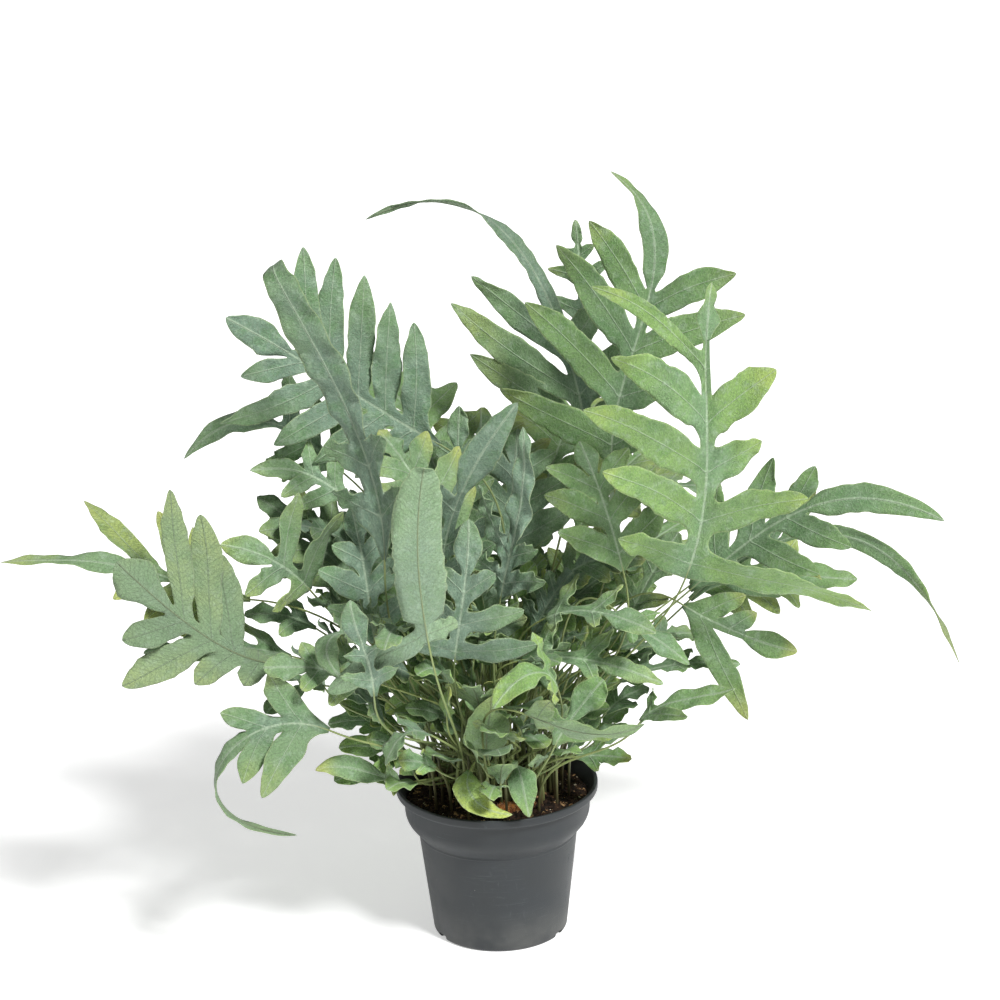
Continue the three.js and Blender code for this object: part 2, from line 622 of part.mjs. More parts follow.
function betweenFrond(row, seed) {
  const heading = radians(row.heading);
  const rise = radians(row.rise);
  const outward = new THREE.Vector3(Math.cos(heading), Math.sin(heading), 0);
  const sideways = new THREE.Vector3(-outward.y, outward.x, 0);
  const sway = 0.16 * (chance(seed + 1) - 0.5);
  const rib = [0, 1 / 3, 2 / 3, 1].map((t) => {
    const along = row.length * t;
    const point = vec(row.neck).addScaledVector(outward, along * (Math.cos(rise) + 0.5 * row.droop * t));
    point.addScaledVector(sideways, sway * along * t);
    point.z += along * (Math.sin(rise) - row.droop * t);
    return point.toArray();
  });
  const face = outward.clone().multiplyScalar(-Math.sin(rise)).setZ(Math.cos(rise));
  const width = row.width ?? mix(19, 27, row.length / 150);
  // Blades turn their upper side to the light at the front, the upright ones most, but not those that
  // point there.
  const light = vec(FRONT).normalize();
  const aim = outward.clone().multiplyScalar(Math.cos(rise)).setZ(Math.sin(rise)).dot(light);
  face.lerp(light, (row.toLight ?? (rise > 0.9 ? 0.4 : 0.15)) * (1 - aim * aim));
  return {
    sweep: 58, tip: 0.85 * width, sag: 0.1, curl: 0.07, twist: 50 * (chance(seed + 2) - 0.5), ...row,
    rib, face: face.toArray(), width,
  };
}

// Bands of fronds that lean out from the crown. from and to are headings; reach, height and blade give the
// least and the greatest distance of the neck from the pot's axis, height of the neck and blade length.
const BANDS = [
  { name: "back_high", count: 4, from: 35, to: 125, reach: [60, 130], height: [340, 440], blade: [150, 190],
    pairs: 3, lobe: 88 },
  { name: "back_low", count: 4, from: 20, to: 150, reach: [110, 180], height: [230, 310], blade: [130, 170],
    pairs: 3, lobe: 74 },
];

function bandRow({ name, count, from, to, reach, height, blade, pairs, lobe }, index, seed) {
  const pick = ([low, high], offset) => mix(low, high, chance(seed + offset));
  const heading = mix(from, to, (index + 0.25 + 0.5 * chance(seed)) / count);
  const out = pick(reach, 1);
  const turn = radians(heading);
  return {
    name: `${name}_${index + 1}`, neck: [out * Math.cos(turn), out * Math.sin(turn), pick(height, 2)],
    heading, rise: mix(66, 30, out / 190), length: pick(blade, 3), droop: 0.3, pairs, lobe,
  };
}

// Tufts: young fronds with few, blunt lobes, which spring from one point and are one body there.
const TUFTS = [
  { name: "tuft_front", count: 6, heading: -112, fan: 120, reach: [44, 86],
    height: [185, 285], blade: [60, 88] },
  { name: "tuft_left", count: 4, heading: 205, fan: 110, reach: [48, 84],
    height: [180, 265], blade: [58, 92] },
  { name: "tuft_right", count: 4, heading: -38, fan: 90, reach: [46, 84],
    height: [180, 270], blade: [60, 90] },
  { name: "tuft_inner", count: 5, heading: -150, fan: 150, reach: [26, 56],
    height: [235, 320], blade: [70, 105] },
];

function tuftRow(tuft, index, seed) {
  const pick = ([low, high], offset) => mix(low, high, chance(seed + offset));
  const heading = tuft.heading + tuft.fan * ((index + 0.5) / tuft.count - 0.5) + 20 * (chance(seed) - 0.5);
  const out = pick(tuft.reach, 1);
  const turn = radians(heading);
  return {
    name: tuft.name, neck: [out * Math.cos(turn), out * Math.sin(turn), pick(tuft.height, 2)],
    heading, rise: mix(80, 35, out / 92), length: pick(tuft.blade, 3), droop: 0.3, width: 23,
    toLight: 0.75, blunt: 0.45, wing: 6, pairs: index % 3 ? 1 : 2, lobe: 38,
  };
}

// The youngest fronds, low in the middle: undivided and spoon-shaped. They fill what the others leave.
const SPROUTS = {
  name: "tuft_sprouts", count: 6, heading: -105, fan: 150, reach: [22, 78],
  height: [172, 262], blade: [46, 74],
};

function sproutRow(sprouts, index, seed) {
  return { ...tuftRow(sprouts, index, seed), pairs: 0, width: 27, tip: 30, blunt: 0.42 };
}

// ---- Fronds: shared defaults, then each one bent clear of those before it ------------------------------

// Opposite lobes by rule: longest a third of the way up, and swept further forward towards the tip.
function lobesByRule({ pairs = 0, lobe, sweep }, seed) {
  return Array.from({ length: pairs }, (_, i) => {
    const up = pairs > 1 ? i / (pairs - 1) : 0.4;
    const size = lobe * (0.82 + 0.4 * up - 0.6 * up * up);
    const vary = (offset) => 0.88 + 0.24 * chance(seed + 13 * i + offset);
    const angle = (offset) => sweep * (1 - 0.08 * up) + 3 * (chance(seed + 13 * i + offset) - 0.5);
    return [0.12 + (pairs > 2 ? 0.46 : 0.36) * up, size * vary(1), angle(2), size * vary(3), angle(4)];
  });
}

// The form of a frond whose row says nothing else. sag and curl bend a lobe down and back, fold lifts the
// lobes from the rib, twist turns the end lobe, and cup, wave and waves shape the margins.
const PLAIN = { sag: 0.05, curl: 0, fold: 12, twist: 0, cup: 0.06, wave: 1.6, waves: 1.6, blunt: 0.58 };

function completed(row, seed) {
  const lobes = row.lobes ?? lobesByRule(row, seed);
  const rib = row.rib.map(vec);
  const length = rib[0].distanceTo(rib[1]) + rib[1].distanceTo(rib[2]) + rib[2].distanceTo(rib[3]);
  return {
    ...PLAIN,
    wing: 0.32 * row.width,
    ...row,
    seed,
    lobes,
    rib,
    length,
    face: vec(row.face).normalize(),
    tipRows: (1 - cutAt({ lobes }, lobes.length)) * length > 70 ? [0.25, 0.5, 0.75] : [0.35, 0.7],
    stipeSteps: 3,
  };
}

// The frond moved by a number of bend steps along the way its face looks.
function bent(frond, steps) {
  return { ...frond, rib: frond.rib.map((p) => p.clone().addScaledVector(frond.face, steps * BEND_STEP)) };
}

// Spots for the stipes' feet, spread over the soil like the seeds of a sunflower.
function feet(rhizomes) {
  const all = Array.from({ length: FEET.count }, (_, i) => {
    const radius = FEET.radius * Math.sqrt((i + 0.5) / FEET.count);
    const angle = radians(FEET.turn * i);
    return [radius * Math.cos(angle), radius * Math.sin(angle)];
  });
  const clearOf = ([x, y]) => (rhizome) => {
    return rhizome.minGap(prism(x, y, STUMP.hole, 2 * HOLE.depth, STUMP.sides), CLEAR) >= CLEAR;
  };
  return all.filter((spot) => rhizomes.every(clearOf(spot)));
}

// An upright prism through the soil's surface, as far above it as below.
function prism(x, y, radius, depth, sides) {
  const shaft = new THREE.CylinderGeometry(radius, radius, 2 * depth, sides).rotateX(Math.PI / 2);
  return solidFrom(shaft.translate(x, y, soilHeight(Math.hypot(x, y))));
}

// The foot of one frond of a tuft: on a small ring round the tuft's own spot.
function tuftSpot([x, y], index, count) {
  const ring = count > 1 ? STUMP.ring : 0;
  const angle = (2 * Math.PI * index) / count;
  return [x + ring * Math.cos(angle), y + ring * Math.sin(angle)];
}

function stump([x, y]) {
  const { radius, sunk, sides } = STUMP;
  const block = new THREE.CylinderGeometry(radius, radius, sunk, sides).rotateX(Math.PI / 2);
  return solidFrom(block.translate(x, y, soilHeight(Math.hypot(x, y)) - sunk / 2));
}

// Where a frond's foot would best stand: under its blade if that is low, nearer the middle if it is high.
function wantedFoot({ rib: [neck] }) {
  const out = Math.hypot(neck.x, neck.y);
  const reach = Math.min(62, out * mix(0.8, 0.35, (neck.z - 150) / 350));
  return [(neck.x / out) * reach, (neck.y / out) * reach];
}

function standsClear(solid, others) {
  const { min, max } = solid.boundingBox();
  return others.every((other) => {
    const box = other.boundingBox();
    const apart = [0, 1, 2].some((k) => box.min[k] > max[k] + CLEAR || box.max[k] < min[k] - CLEAR);
    return apart || solid.minGap(other, CLEAR) >= CLEAR;
  });
}

// Steps of bend in the order they are tried: none, then one to each side, then two.
function* bends() {
  yield 0;
  for (let steps = 1; steps <= MOST_BEND; steps++) yield* [steps, -steps];
}

// The least bend that sets a frond clear of the others with its foot on the spot, or nothing.
function setOn(spot, frond, others) {
  return bends()
    .map((steps) => frondSolid({ ...bent(frond, steps), foot: spot }))
    .find((solid) => standsClear(solid, others));
}

// Sets the plants one after the other. A plant is one frond or a tuft of them, on the nearest foot that
// suits all of it. The fronds of a tuft stand round that foot and are joined by a short stump.
function setPlants(plants, fixed, spots) {
  const set = [];
  for (const { name, fronds } of plants) {
    const [wx, wy] = wantedFoot(fronds[0]);
    const away = ([x, y]) => Math.hypot(x - wx, y - wy);
    const nearest = spots.toSorted((a, b) => away(a) - away(b));
    const others = [...fixed, ...set.map((s) => s.solid)];
    const found = nearest.slice(0, FEET.tried).values().map((foot) => {
      const solids = fronds.map((frond, i) => setOn(tuftSpot(foot, i, fronds.length), frond, others));
      return { name, foot, solids };
    }).find(({ solids }) => solids.every(Boolean));
    if (!found) throw new Error(`${name} finds no clear place`);
    const parts = found.solids.length > 1 ? [stump(found.foot), ...found.solids] : found.solids;
    set.push({ ...found, tuft: found.solids.length > 1, solid: wasm.Manifold.union(parts) });
    spots = spots.filter((spot) => spot !== found.foot);
  }
  return set;
}

// ---- The plant ---------------------------------------------------------------------------------------

const plants = [];
for (const [i, row] of PLACED.entries()) {
  plants.push({ name: row.name, fronds: [completed(row, 100 + 17 * i)] });
}

function tuftPlant(tuft, rowOf, firstSeed) {
  const fronds = Array.from({ length: tuft.count }, (_, i) => {
    const seed = firstSeed + 17 * i;
    return completed(betweenFrond(rowOf(tuft, i, seed), seed), seed);
  });
  return { name: tuft.name, fronds };
}

for (const [b, tuft] of TUFTS.entries()) plants.push(tuftPlant(tuft, tuftRow, 3000 + 200 * b));
plants.push(tuftPlant(SPROUTS, sproutRow, 4400));
for (const [i, row] of BETWEEN.entries()) {
  const seed = 1000 + 17 * i;
  plants.push({ name: row.name, fronds: [completed(betweenFrond(row, seed), seed)] });
}
for (const [b, band] of BANDS.entries()) {
  for (let i = 0; i < band.count; i++) {
    const seed = 2000 + 200 * b + 17 * i;
    const row = bandRow(band, i, seed);
    plants.push({ name: row.name, fronds: [completed(betweenFrond(row, seed), seed)] });
  }
}

// Young fronds at the front are yellow-green, those on the right and behind green, the others blue-grey.
function leafColour(name) {
  if (/front|tuft/.test(name)) return COLOUR.lime;
  return /right|back/.test(name) ? COLOUR.green : COLOUR.blue;
}

const pot = potSolid();
const rhizomes = RHIZOMES.map((row) => rhizomeSolid(row));
const set = setPlants(plants, [pot, ...rhizomes], feet(rhizomes));

const holes = set.map(({ foot: [x, y], tuft }) =>
  tuft
    ? prism(x, y, STUMP.hole, STUMP.sunk + GAP, STUMP.sides)
    : prism(x, y, HOLE.radius, HOLE.depth, HOLE.sides),
);
const beds = RHIZOMES.map((row) => rhizomeSolid(row, GAP));
const soil = [...holes, ...beds].reduce((solid, cut) => solid.subtract(cut), soilSolid());

const plant = new THREE.Group();
plant.add(node("pot", pot, COLOUR.pot, 0.55), node("soil", soil, COLOUR.soil, 0.95));
RHIZOMES.forEach(({ name }, i) => plant.add(node(name, rhizomes[i], COLOUR.rhizome, 0.9)));
for (const { name, solid } of set) plant.add(node(`frond_${name}`, solid, leafColour(name), 0.6));

export default plant;
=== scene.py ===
# %% [markdown]
# # A blue star fern in its nursery pot
#
# The plant is already built as a plain, correct CAD model: a pot, its soil, two rhizomes and fifty-six
# frond solids. CAD blades have few corners, no veins and one colour each. This lesson makes the visible
# plant around that model: fine blades with a real margin, stipes, rhizomes with their fur, crumbly soil,
# a moulded pot, and a material for each. Every one of them stands where the CAD has it. Small leaves and
# soil crumbs, too many for the CAD, are grown at the end of their chapters.
#
# First the frame is loaded. It is the fixed model that everything else is set on. Its box is kept, and
# the small leaves grown later must stay inside it.

import math

import bmesh
import bpy
import numpy as np
from mathutils import Matrix, Vector, noise as mathutils_noise
from mathutils.bvhtree import BVHTree


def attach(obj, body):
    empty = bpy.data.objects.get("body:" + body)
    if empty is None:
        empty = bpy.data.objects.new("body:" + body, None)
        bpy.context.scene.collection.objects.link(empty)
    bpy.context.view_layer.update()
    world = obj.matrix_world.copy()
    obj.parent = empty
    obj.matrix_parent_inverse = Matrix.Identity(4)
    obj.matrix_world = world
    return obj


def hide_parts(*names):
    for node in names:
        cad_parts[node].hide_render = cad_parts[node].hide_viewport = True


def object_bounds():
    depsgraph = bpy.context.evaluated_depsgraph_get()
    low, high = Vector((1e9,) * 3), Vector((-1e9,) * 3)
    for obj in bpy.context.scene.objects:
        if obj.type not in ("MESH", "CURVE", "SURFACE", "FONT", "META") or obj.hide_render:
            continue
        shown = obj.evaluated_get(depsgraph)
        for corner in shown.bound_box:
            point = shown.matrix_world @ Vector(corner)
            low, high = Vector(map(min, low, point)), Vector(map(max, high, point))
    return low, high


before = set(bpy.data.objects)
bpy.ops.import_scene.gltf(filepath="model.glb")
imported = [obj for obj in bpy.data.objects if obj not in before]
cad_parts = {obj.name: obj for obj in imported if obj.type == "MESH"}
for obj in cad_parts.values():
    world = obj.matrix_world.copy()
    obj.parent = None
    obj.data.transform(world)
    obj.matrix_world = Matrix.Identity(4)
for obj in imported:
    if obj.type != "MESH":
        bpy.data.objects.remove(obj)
cad_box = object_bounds()
MM = 0.001  # the frame is in metres, and a plant's sizes are easier to read in millimetres
print("CAD box in mm:", [[round(v / MM) for v in corner] for corner in cad_box])


def new_object(name, data):
    """An object with this data, linked to the scene."""
    piece = bpy.data.objects.new(name, data)
    bpy.context.scene.collection.objects.link(piece)
    return piece


# %% [markdown]
# ## Camera
#
# A plant this fine looks best from far away through a long lens, which keeps near and far fronds at one
# scale. The camera looks a little down, so that the pot's mouth shows as a narrow ellipse. Its axes are
# worked out as vectors and put in a matrix, which leaves no doubt about the order of three turns.

# %% Camera
CAMERA = {"aim": (10.2, 0, 426), "distance": 3000, "down": 18.68, "roll": -1.55, "lens": 118.2}
CLIP_END = 60


def add_camera(aim, distance, down, roll, lens):
    data = bpy.data.cameras.new("camera")
    data.lens = lens
    data.clip_end = CLIP_END
    camera = new_object("camera", data)
    down, roll = math.radians(down), math.radians(roll)
    back = Vector((0, -math.cos(down), math.sin(down)))
    side = Vector((1, 0, 0))
    top = back.cross(side)
    across = side * math.cos(roll) + top * math.sin(roll)
    upright = top * math.cos(roll) - side * math.sin(roll)
    axes = Matrix((across, upright, back)).transposed().to_4x4()
    axes.translation = (Vector(aim) + back * distance) * MM
    camera.matrix_world = axes
    bpy.context.scene.camera = camera


add_camera(**CAMERA)

# %% [markdown]
# ## Floor and light
#
# A plant with many thin leaves shows best in a white room under one large soft lamp. The lamp is a sun
# with a wide disc, because a sun lights the whole floor evenly. It stands at the front right, so the
# shadow falls to the left and behind. The white room is the world's colour and keeps the shadows open.
# The floor glows a little, as a lit white studio floor does, so that it stays white to its edge.

# %% Floor and light
ROOM_LIGHT = 0.28
LAMP = {"toward": (0.62, -0.8, 1.15), "strength": 3.75, "disc": 12}
FLOOR = {"half": 9.0, "glow": 0.47}


def add_room():
    room = bpy.data.worlds.new("white room")
    room.use_nodes = True
    background = room.node_tree.nodes["Background"].inputs
    background["Color"].default_value = (1, 1, 1, 1)
    background["Strength"].default_value = ROOM_LIGHT
    bpy.context.scene.world = room
    bpy.context.scene.view_settings.view_transform = "Standard"  # a white floor then stays white


def add_lamp(toward, strength, disc):
    data = bpy.data.lights.new("key", "SUN")
    data.energy = strength
    data.angle = math.radians(disc)
    new_object("key", data).rotation_euler = (-Vector(toward)).to_track_quat("-Z", "Y").to_euler()


def add_floor(half, glow):
    data = bpy.data.meshes.new("floor")
    corners = [(-half, -half, 0), (half, -half, 0), (half, half, 0), (-half, half, 0)]
    data.from_pydata(corners, [], [(0, 1, 2, 3)])
    material = bpy.data.materials.new("white floor")
    material.use_nodes = True
    shader = material.node_tree.nodes["Principled BSDF"].inputs
    shader["Base Color"].default_value = (0.9, 0.9, 0.9, 1)
    shader["Roughness"].default_value = 0.85
    shader["Emission Color"].default_value = (1, 1, 1, 1)
    shader["Emission Strength"].default_value = glow
    data.materials.append(material)
    floor = new_object("floor", data)


add_room()
add_lamp(**LAMP)
add_floor(**FLOOR)

# %% [markdown]
# ## Helpers for node trees
#
# A material is a small graph. Written out in full, each node takes several lines, and the recipe is lost
# among them. These helpers place one node and give back its output, so that a step of the recipe is a
# line. They serve shader trees, node groups and Geometry Nodes alike. A finish is then mostly a list of
# stains: a colour, the mask that says where it shows, and how strongly it shows at most.

# %% Helpers for node trees
def paint(code):
    """A web colour such as 7d9a86 as the linear colour that shaders work in."""
    parts = [int(code[i:i + 2], 16) / 255 for i in (0, 2, 4)]
    return tuple(c / 12.92 if c <= 0.04045 else ((c + 0.055) / 1.055) ** 2.4 for c in parts) + (1.0,)


def add_node(tree, kind, inputs=None, **settings):
    """Adds a node and sets or links its inputs."""
    new = tree.nodes.new(kind)
    for key, value in settings.items():
        setattr(new, key, value)
    for key, value in (inputs or {}).items():
        if isinstance(value, bpy.types.NodeSocket):
            tree.links.new(value, new.inputs[key])
        else:
            new.inputs[key].default_value = value
    return new


def place(tree, kind, inputs=None, out=0, **settings):
    """Adds a node and returns one of its outputs."""
    return add_node(tree, kind, inputs, **settings).outputs[out]


def calc(tree, operation, *values):
    return place(tree, "ShaderNodeMath", dict(enumerate(values)), operation=operation)


def ramp(tree, value, low, high, low_out=0.0, high_out=1.0):
    """Smooth step from low_out to high_out while the value goes from low to high."""
    inputs = {0: value, 1: low, 2: high, 3: low_out, 4: high_out}
    return place(tree, "ShaderNodeMapRange", inputs, interpolation_type="SMOOTHSTEP")


def tint(tree, share, below, above, how="MIX"):
    """Mixes two colours. The share is how much of the second one shows."""
    inputs = {0: share, 6: below, 7: above}
    return place(tree, "ShaderNodeMix", inputs, out=2, data_type="RGBA", blend_type=how)


def stained(tree, colour, *stains):
    """Lays stains over a colour. Each is a web colour, its mask, and how strongly it shows at most."""
    for code, mask, most in stains:
        share = mask if most == 1 else calc(tree, "MULTIPLY", mask, most)
        colour = tint(tree, share, colour, paint(code))
    return colour


def dimmed(tree, colour, bright):
    """A colour times a brightness."""
    grey = place(tree, "ShaderNodeCombineXYZ", {0: bright, 1: bright, 2: bright})
    return tint(tree, 1.0, colour, grey, "MULTIPLY")


def noise(tree, where, scale, detail=2.0, rough=0.5):
    inputs = {"Vector": where, "Scale": scale, "Detail": detail, "Roughness": rough}
    return place(tree, "ShaderNodeTexNoise", inputs, out="Fac")


def new_group(name, inputs, outputs):
    """An empty shader group. Inputs are name: default value, and outputs are name: kind of socket."""
    tree = bpy.data.node_groups.new(name, "ShaderNodeTree")
    for label, value in inputs.items():
        kind = "NodeSocketFloat" if isinstance(value, float) else "NodeSocketVector"
        socket = tree.interface.new_socket(label, in_out="INPUT", socket_type=kind)
        socket.default_value = value
    for label, kind in outputs.items():
        tree.interface.new_socket(label, in_out="OUTPUT", socket_type=f"NodeSocket{kind}")
    entry = tree.nodes.new("NodeGroupInput")
    result = tree.nodes.new("NodeGroupOutput")
    return tree, entry.outputs, result.inputs


def new_material(name, roughness=0.6, **fixed):
    """A material with its Principled shader. Values that are the same all over are set on its sockets."""
    material = bpy.data.materials.new(name)
    material.use_nodes = True
    tree = material.node_tree
    shader = tree.nodes["Principled BSDF"]
    shader.inputs["Roughness"].default_value = roughness
    for key, value in fixed.items():
        shader.inputs[key.replace("_", " ")].default_value = value
    return material, tree, shader.inputs


def wire(tree, shader, **outputs):
    """Links outputs to the shader's sockets of these names."""
    for label, output in outputs.items():
        tree.links.new(output, shader[label.replace("_", " ")])


def bump(tree, height, distance, strength):
    inputs = {"Height": height, "Distance": distance, "Strength": strength}
    return place(tree, "ShaderNodeBump", inputs)


def attribute(tree, name):
    """The three numbers that a mesh carries at each point under this name."""
    vector = place(tree, "ShaderNodeAttribute", out="Vector", attribute_name=name)
    return [place(tree, "ShaderNodeSeparateXYZ", {0: vector}, out=i) for i in range(3)]


# %% [markdown]
# ## Effects that several finishes share
#
# Four effects come back in more than one material, so each is a node group with named inputs: *mottle*,
# soft blotches for anything that grew or aged; *specks*, the small points on leaves, soil and plastic;
# *vein net*, the lines of a leaf; and *scuffs*, fine scratches on plastic and scars on leaves. A group
# gives out masks and heights only. Each material decides what colour they have.

# %% Effects that several finishes share
def mottle_group():
    tree, given, result = new_group(
        "mottle", {"Where": (0, 0, 0), "Size": 0.02, "Low": 0.4, "High": 0.65}, {"Mask": "Float"}
    )
    scale = calc(tree, "DIVIDE", 1.0, given["Size"])
    broad = noise(tree, given["Where"], scale, 3.0, 0.6)
    tree.links.new(ramp(tree, broad, given["Low"], given["High"]), result["Mask"])
    return tree


def specks_group():
    tree, given, result = new_group(
        "specks", {"Where": (0, 0, 0), "Spacing": 0.003, "Share": 0.3, "Radius": 0.14}, {"Mask": "Float"}
    )
    scale = calc(tree, "DIVIDE", 1.0, given["Spacing"])
    cell = {"Vector": given["Where"], "Scale": scale, "Randomness": 1.0}
    distance = place(tree, "ShaderNodeTexVoronoi", cell, out="Distance")
    draw = place(tree, "ShaderNodeTexVoronoi", cell, out="Color")
    picked = calc(tree, "LESS_THAN", place(tree, "ShaderNodeSeparateXYZ", {0: draw}), given["Share"])
    dot = ramp(tree, distance, given["Radius"], 0.0)
    tree.links.new(calc(tree, "MULTIPLY", dot, picked), result["Mask"])
    return tree


def vein_group():
    tree, given, result = new_group(
        "vein net",
        {"Across": 0.0, "Along": 0.0, "Midrib": 0.6, "Spacing": 5.0, "Slant": 0.8},
        {"Midrib": "Float", "Side": "Float", "Height": "Float"},
    )
    away = calc(tree, "ABSOLUTE", given["Across"])
    midrib = ramp(tree, away, given["Midrib"], 0.0)
    flat = place(tree, "ShaderNodeCombineXYZ", {0: given["Across"], 1: given["Along"]})
    wander = calc(tree, "MULTIPLY", noise(tree, flat, 0.25, 2.0), 1.6)
    run = calc(tree, "SUBTRACT", given["Along"], calc(tree, "MULTIPLY", away, given["Slant"]))
    phase = calc(tree, "ADD", calc(tree, "DIVIDE", run, given["Spacing"]), wander)
    saw = calc(tree, "ABSOLUTE", calc(tree, "SUBTRACT", calc(tree, "FRACT", phase), 0.5))
    side = ramp(tree, saw, 0.11, 0.0)
    cell = {"Vector": flat, "Scale": 0.27}
    edge = place(tree, "ShaderNodeTexVoronoi", cell, feature="DISTANCE_TO_EDGE")
    mesh = ramp(tree, edge, 0.13, 0.0)
    lines = calc(tree, "MAXIMUM", side, calc(tree, "MULTIPLY", mesh, 0.7))
    height = calc(tree, "ADD", calc(tree, "MULTIPLY", midrib, 1.6), lines)
    tree.links.new(midrib, result["Midrib"])
    tree.links.new(lines, result["Side"])
    tree.links.new(height, result["Height"])
    return tree


def scuffs_group():
    tree, given, result = new_group(
        "scuffs", {"Where": (0, 0, 0), "Scale": 60.0, "Stretch": (1, 1, 12), "Share": 0.3}, {"Mask": "Float"}
    )
    inputs = {0: given["Where"], 1: given["Stretch"]}
    drawn = place(tree, "ShaderNodeVectorMath", inputs, operation="MULTIPLY")
    lines = noise(tree, drawn, given["Scale"], 5.0, 0.65)
    patch = noise(tree, given["Where"], 22.0, 2.0)
    both = calc(tree, "MULTIPLY", ramp(tree, lines, 0.56, 0.74), ramp(tree, patch, 0.42, 0.62))
    tree.links.new(calc(tree, "MULTIPLY", both, given["Share"]), result["Mask"])
    return tree


MOTTLE = mottle_group()
SPECKS = specks_group()
VEINS = vein_group()
SCUFFS = scuffs_group()


def mask_of(tree, group, *values):
    """The mask that a group gives. Values are in the order of its inputs, and where comes first."""
    return place(tree, "ShaderNodeGroup", dict(enumerate(values)), node_tree=group)


def spot(tree):
    """Where a point is on the plant, in metres. Pieces sit at the origin, so this is the frame's place."""
    return place(tree, "ShaderNodeTexCoord", out="Object")


# %% [markdown]
# ## Leaf finish
#
# A blue star fern's blade is matt and wears a thin wax that makes it look blue-grey. The wax rubs off in
# blotches and shows the greener leaf below. Lobes are bluest near the rib and yellower at the tip. A thin
# pale yellow line along the margin is partly the leaf's own rim and partly a painted highlight where
# light catches the edge. The underside is paler, and its midribs are thin dark lines instead of pale ones.
#
# The mesh carries three attributes for this. *veins* has the distance to the lobe's midrib, the way
# along it and the distance to the rib, in millimetres. *place* has how near the margin a point is, how
# far along the lobe, and 1 on the underside. *tone* has hue, brightness and age, drawn for each lobe.

# %% Leaf finish
def leaf_material(name, deep, fresh, tip):
    material, tree, shader = new_material(
        name, Specular_IOR_Level=0.32, Sheen_Weight=0.12, Sheen_Roughness=0.5,
    )
    across, along, from_rib = attribute(tree, "veins")
    margin, share, under = attribute(tree, "place")
    hue, bright, age = attribute(tree, "tone")
    where = spot(tree)
    net = {"Across": across, "Along": along, "Midrib": 0.9}
    lines = add_node(tree, "ShaderNodeGroup", net, node_tree=VEINS).outputs
    midrib = calc(tree, "MAXIMUM", lines["Midrib"], ramp(tree, from_rib, 1.7, 0.5))
    drift = calc(tree, "SUBTRACT", noise(tree, where, 28.0, 2.0), 0.5)
    yellow = calc(tree, "ADD", hue, calc(tree, "MULTIPLY", drift, 0.7))
    yellow = calc(tree, "ADD", yellow, ramp(tree, share, 0.3, 1.0, 0.0, 0.36))
    yellow = calc(tree, "ADD", yellow, ramp(tree, from_rib, 24.0, 0.0, 0.0, -0.24))
    rubbed = mask_of(tree, MOTTLE, where, 0.017, 0.48, 0.66)
    flat = place(tree, "ShaderNodeCombineXYZ", {0: across, 1: along})
    metres = place(tree, "ShaderNodeVectorMath", {0: flat, 3: MM}, operation="SCALE")
    upper = stained(
        tree, tint(tree, ramp(tree, yellow, 0.0, 0.6), paint(deep), paint(fresh)),
        (tip, ramp(tree, yellow, 0.6, 1.3), 1),
        ("4f7a42", rubbed, 0.42),
        ("a2b5a2", mask_of(tree, MOTTLE, where, 0.0075, 0.5, 0.7), 0.3),  # thick wax
        ("42603a", mask_of(tree, SCUFFS, metres, 130.0, (1.6, 0.5, 1), 0.9), 1),  # scars
        ("3f5832", mask_of(tree, SPECKS, where, 0.0035, 0.25, 0.16), 0.55),
        ("b2c4a2", lines["Side"], 0.2),
        ("b7c9ae", midrib, 0.45),
        # pale yellow margin line: partly the leaf's own rim, partly a painted highlight on the edge
        ("b9c98e", ramp(tree, margin, 0.9, 1.0, 0.0, 0.35), 1),
    )
    stains_below = ("8b9f83", 0.4, 1), ("647a56", lines["Side"], 0.3), ("4a5e3a", midrib, 0.36)
    lower = stained(tree, upper, *stains_below)
    worn = calc(tree, "MULTIPLY", ramp(tree, share, 0.62, 1.0), age)
    burnt = calc(tree, "MULTIPLY", ramp(tree, share, 0.93, 1.0), ramp(tree, age, 0.4, 1.0))
    colour = stained(tree, tint(tree, under, upper, lower), ("b7b85c", worn, 1), ("8a6238", burnt, 1))
    grain = noise(tree, where, 620.0, 3.0, 0.7)
    # bright is the lobe's brightness, which for front_broad is raised as painted light against a cast shadow
    bright = calc(tree, "MULTIPLY", bright, ramp(tree, grain, 0.3, 0.7, 0.84, 1.16))
    dull = calc(tree, "ADD", ramp(tree, rubbed, 0.0, 1.0, 0.56, 0.44), calc(tree, "MULTIPLY", under, 0.12))
    cockle = calc(tree, "MULTIPLY", noise(tree, where, 75.0, 2.0), 3.4)
    relief = calc(tree, "ADD", lines["Height"], calc(tree, "MULTIPLY", grain, 0.8))
    normal = bump(tree, calc(tree, "ADD", relief, cockle), 0.00045, 0.9)
    wire(tree, shader, Base_Color=dimmed(tree, colour, bright), Roughness=dull, Normal=normal)
    return material


LEAVES = {
    "leaf_blue": leaf_material("glaucous leaf", "6d8672", "729065", "9aac62"),
    "leaf_green": leaf_material("green leaf", "67865f", "719358", "9dae5f"),
    "leaf_lime": leaf_material("young leaf", "6c8c63", "7d9f57", "adbb59"),
}


# %% [markdown]
# ## Stipe finish
#
# The stipe is the leaf's stalk. It is brown at the foot, turns green over a quarter of its length, and is
# slightly glossy, with faint brown streaks along it. On the blade it is the rib: pale above and dark
# below. Its own *place* attribute has 1 on its lower side, the share of its length from the foot to the
# blade's tip, and 1 on the blade.

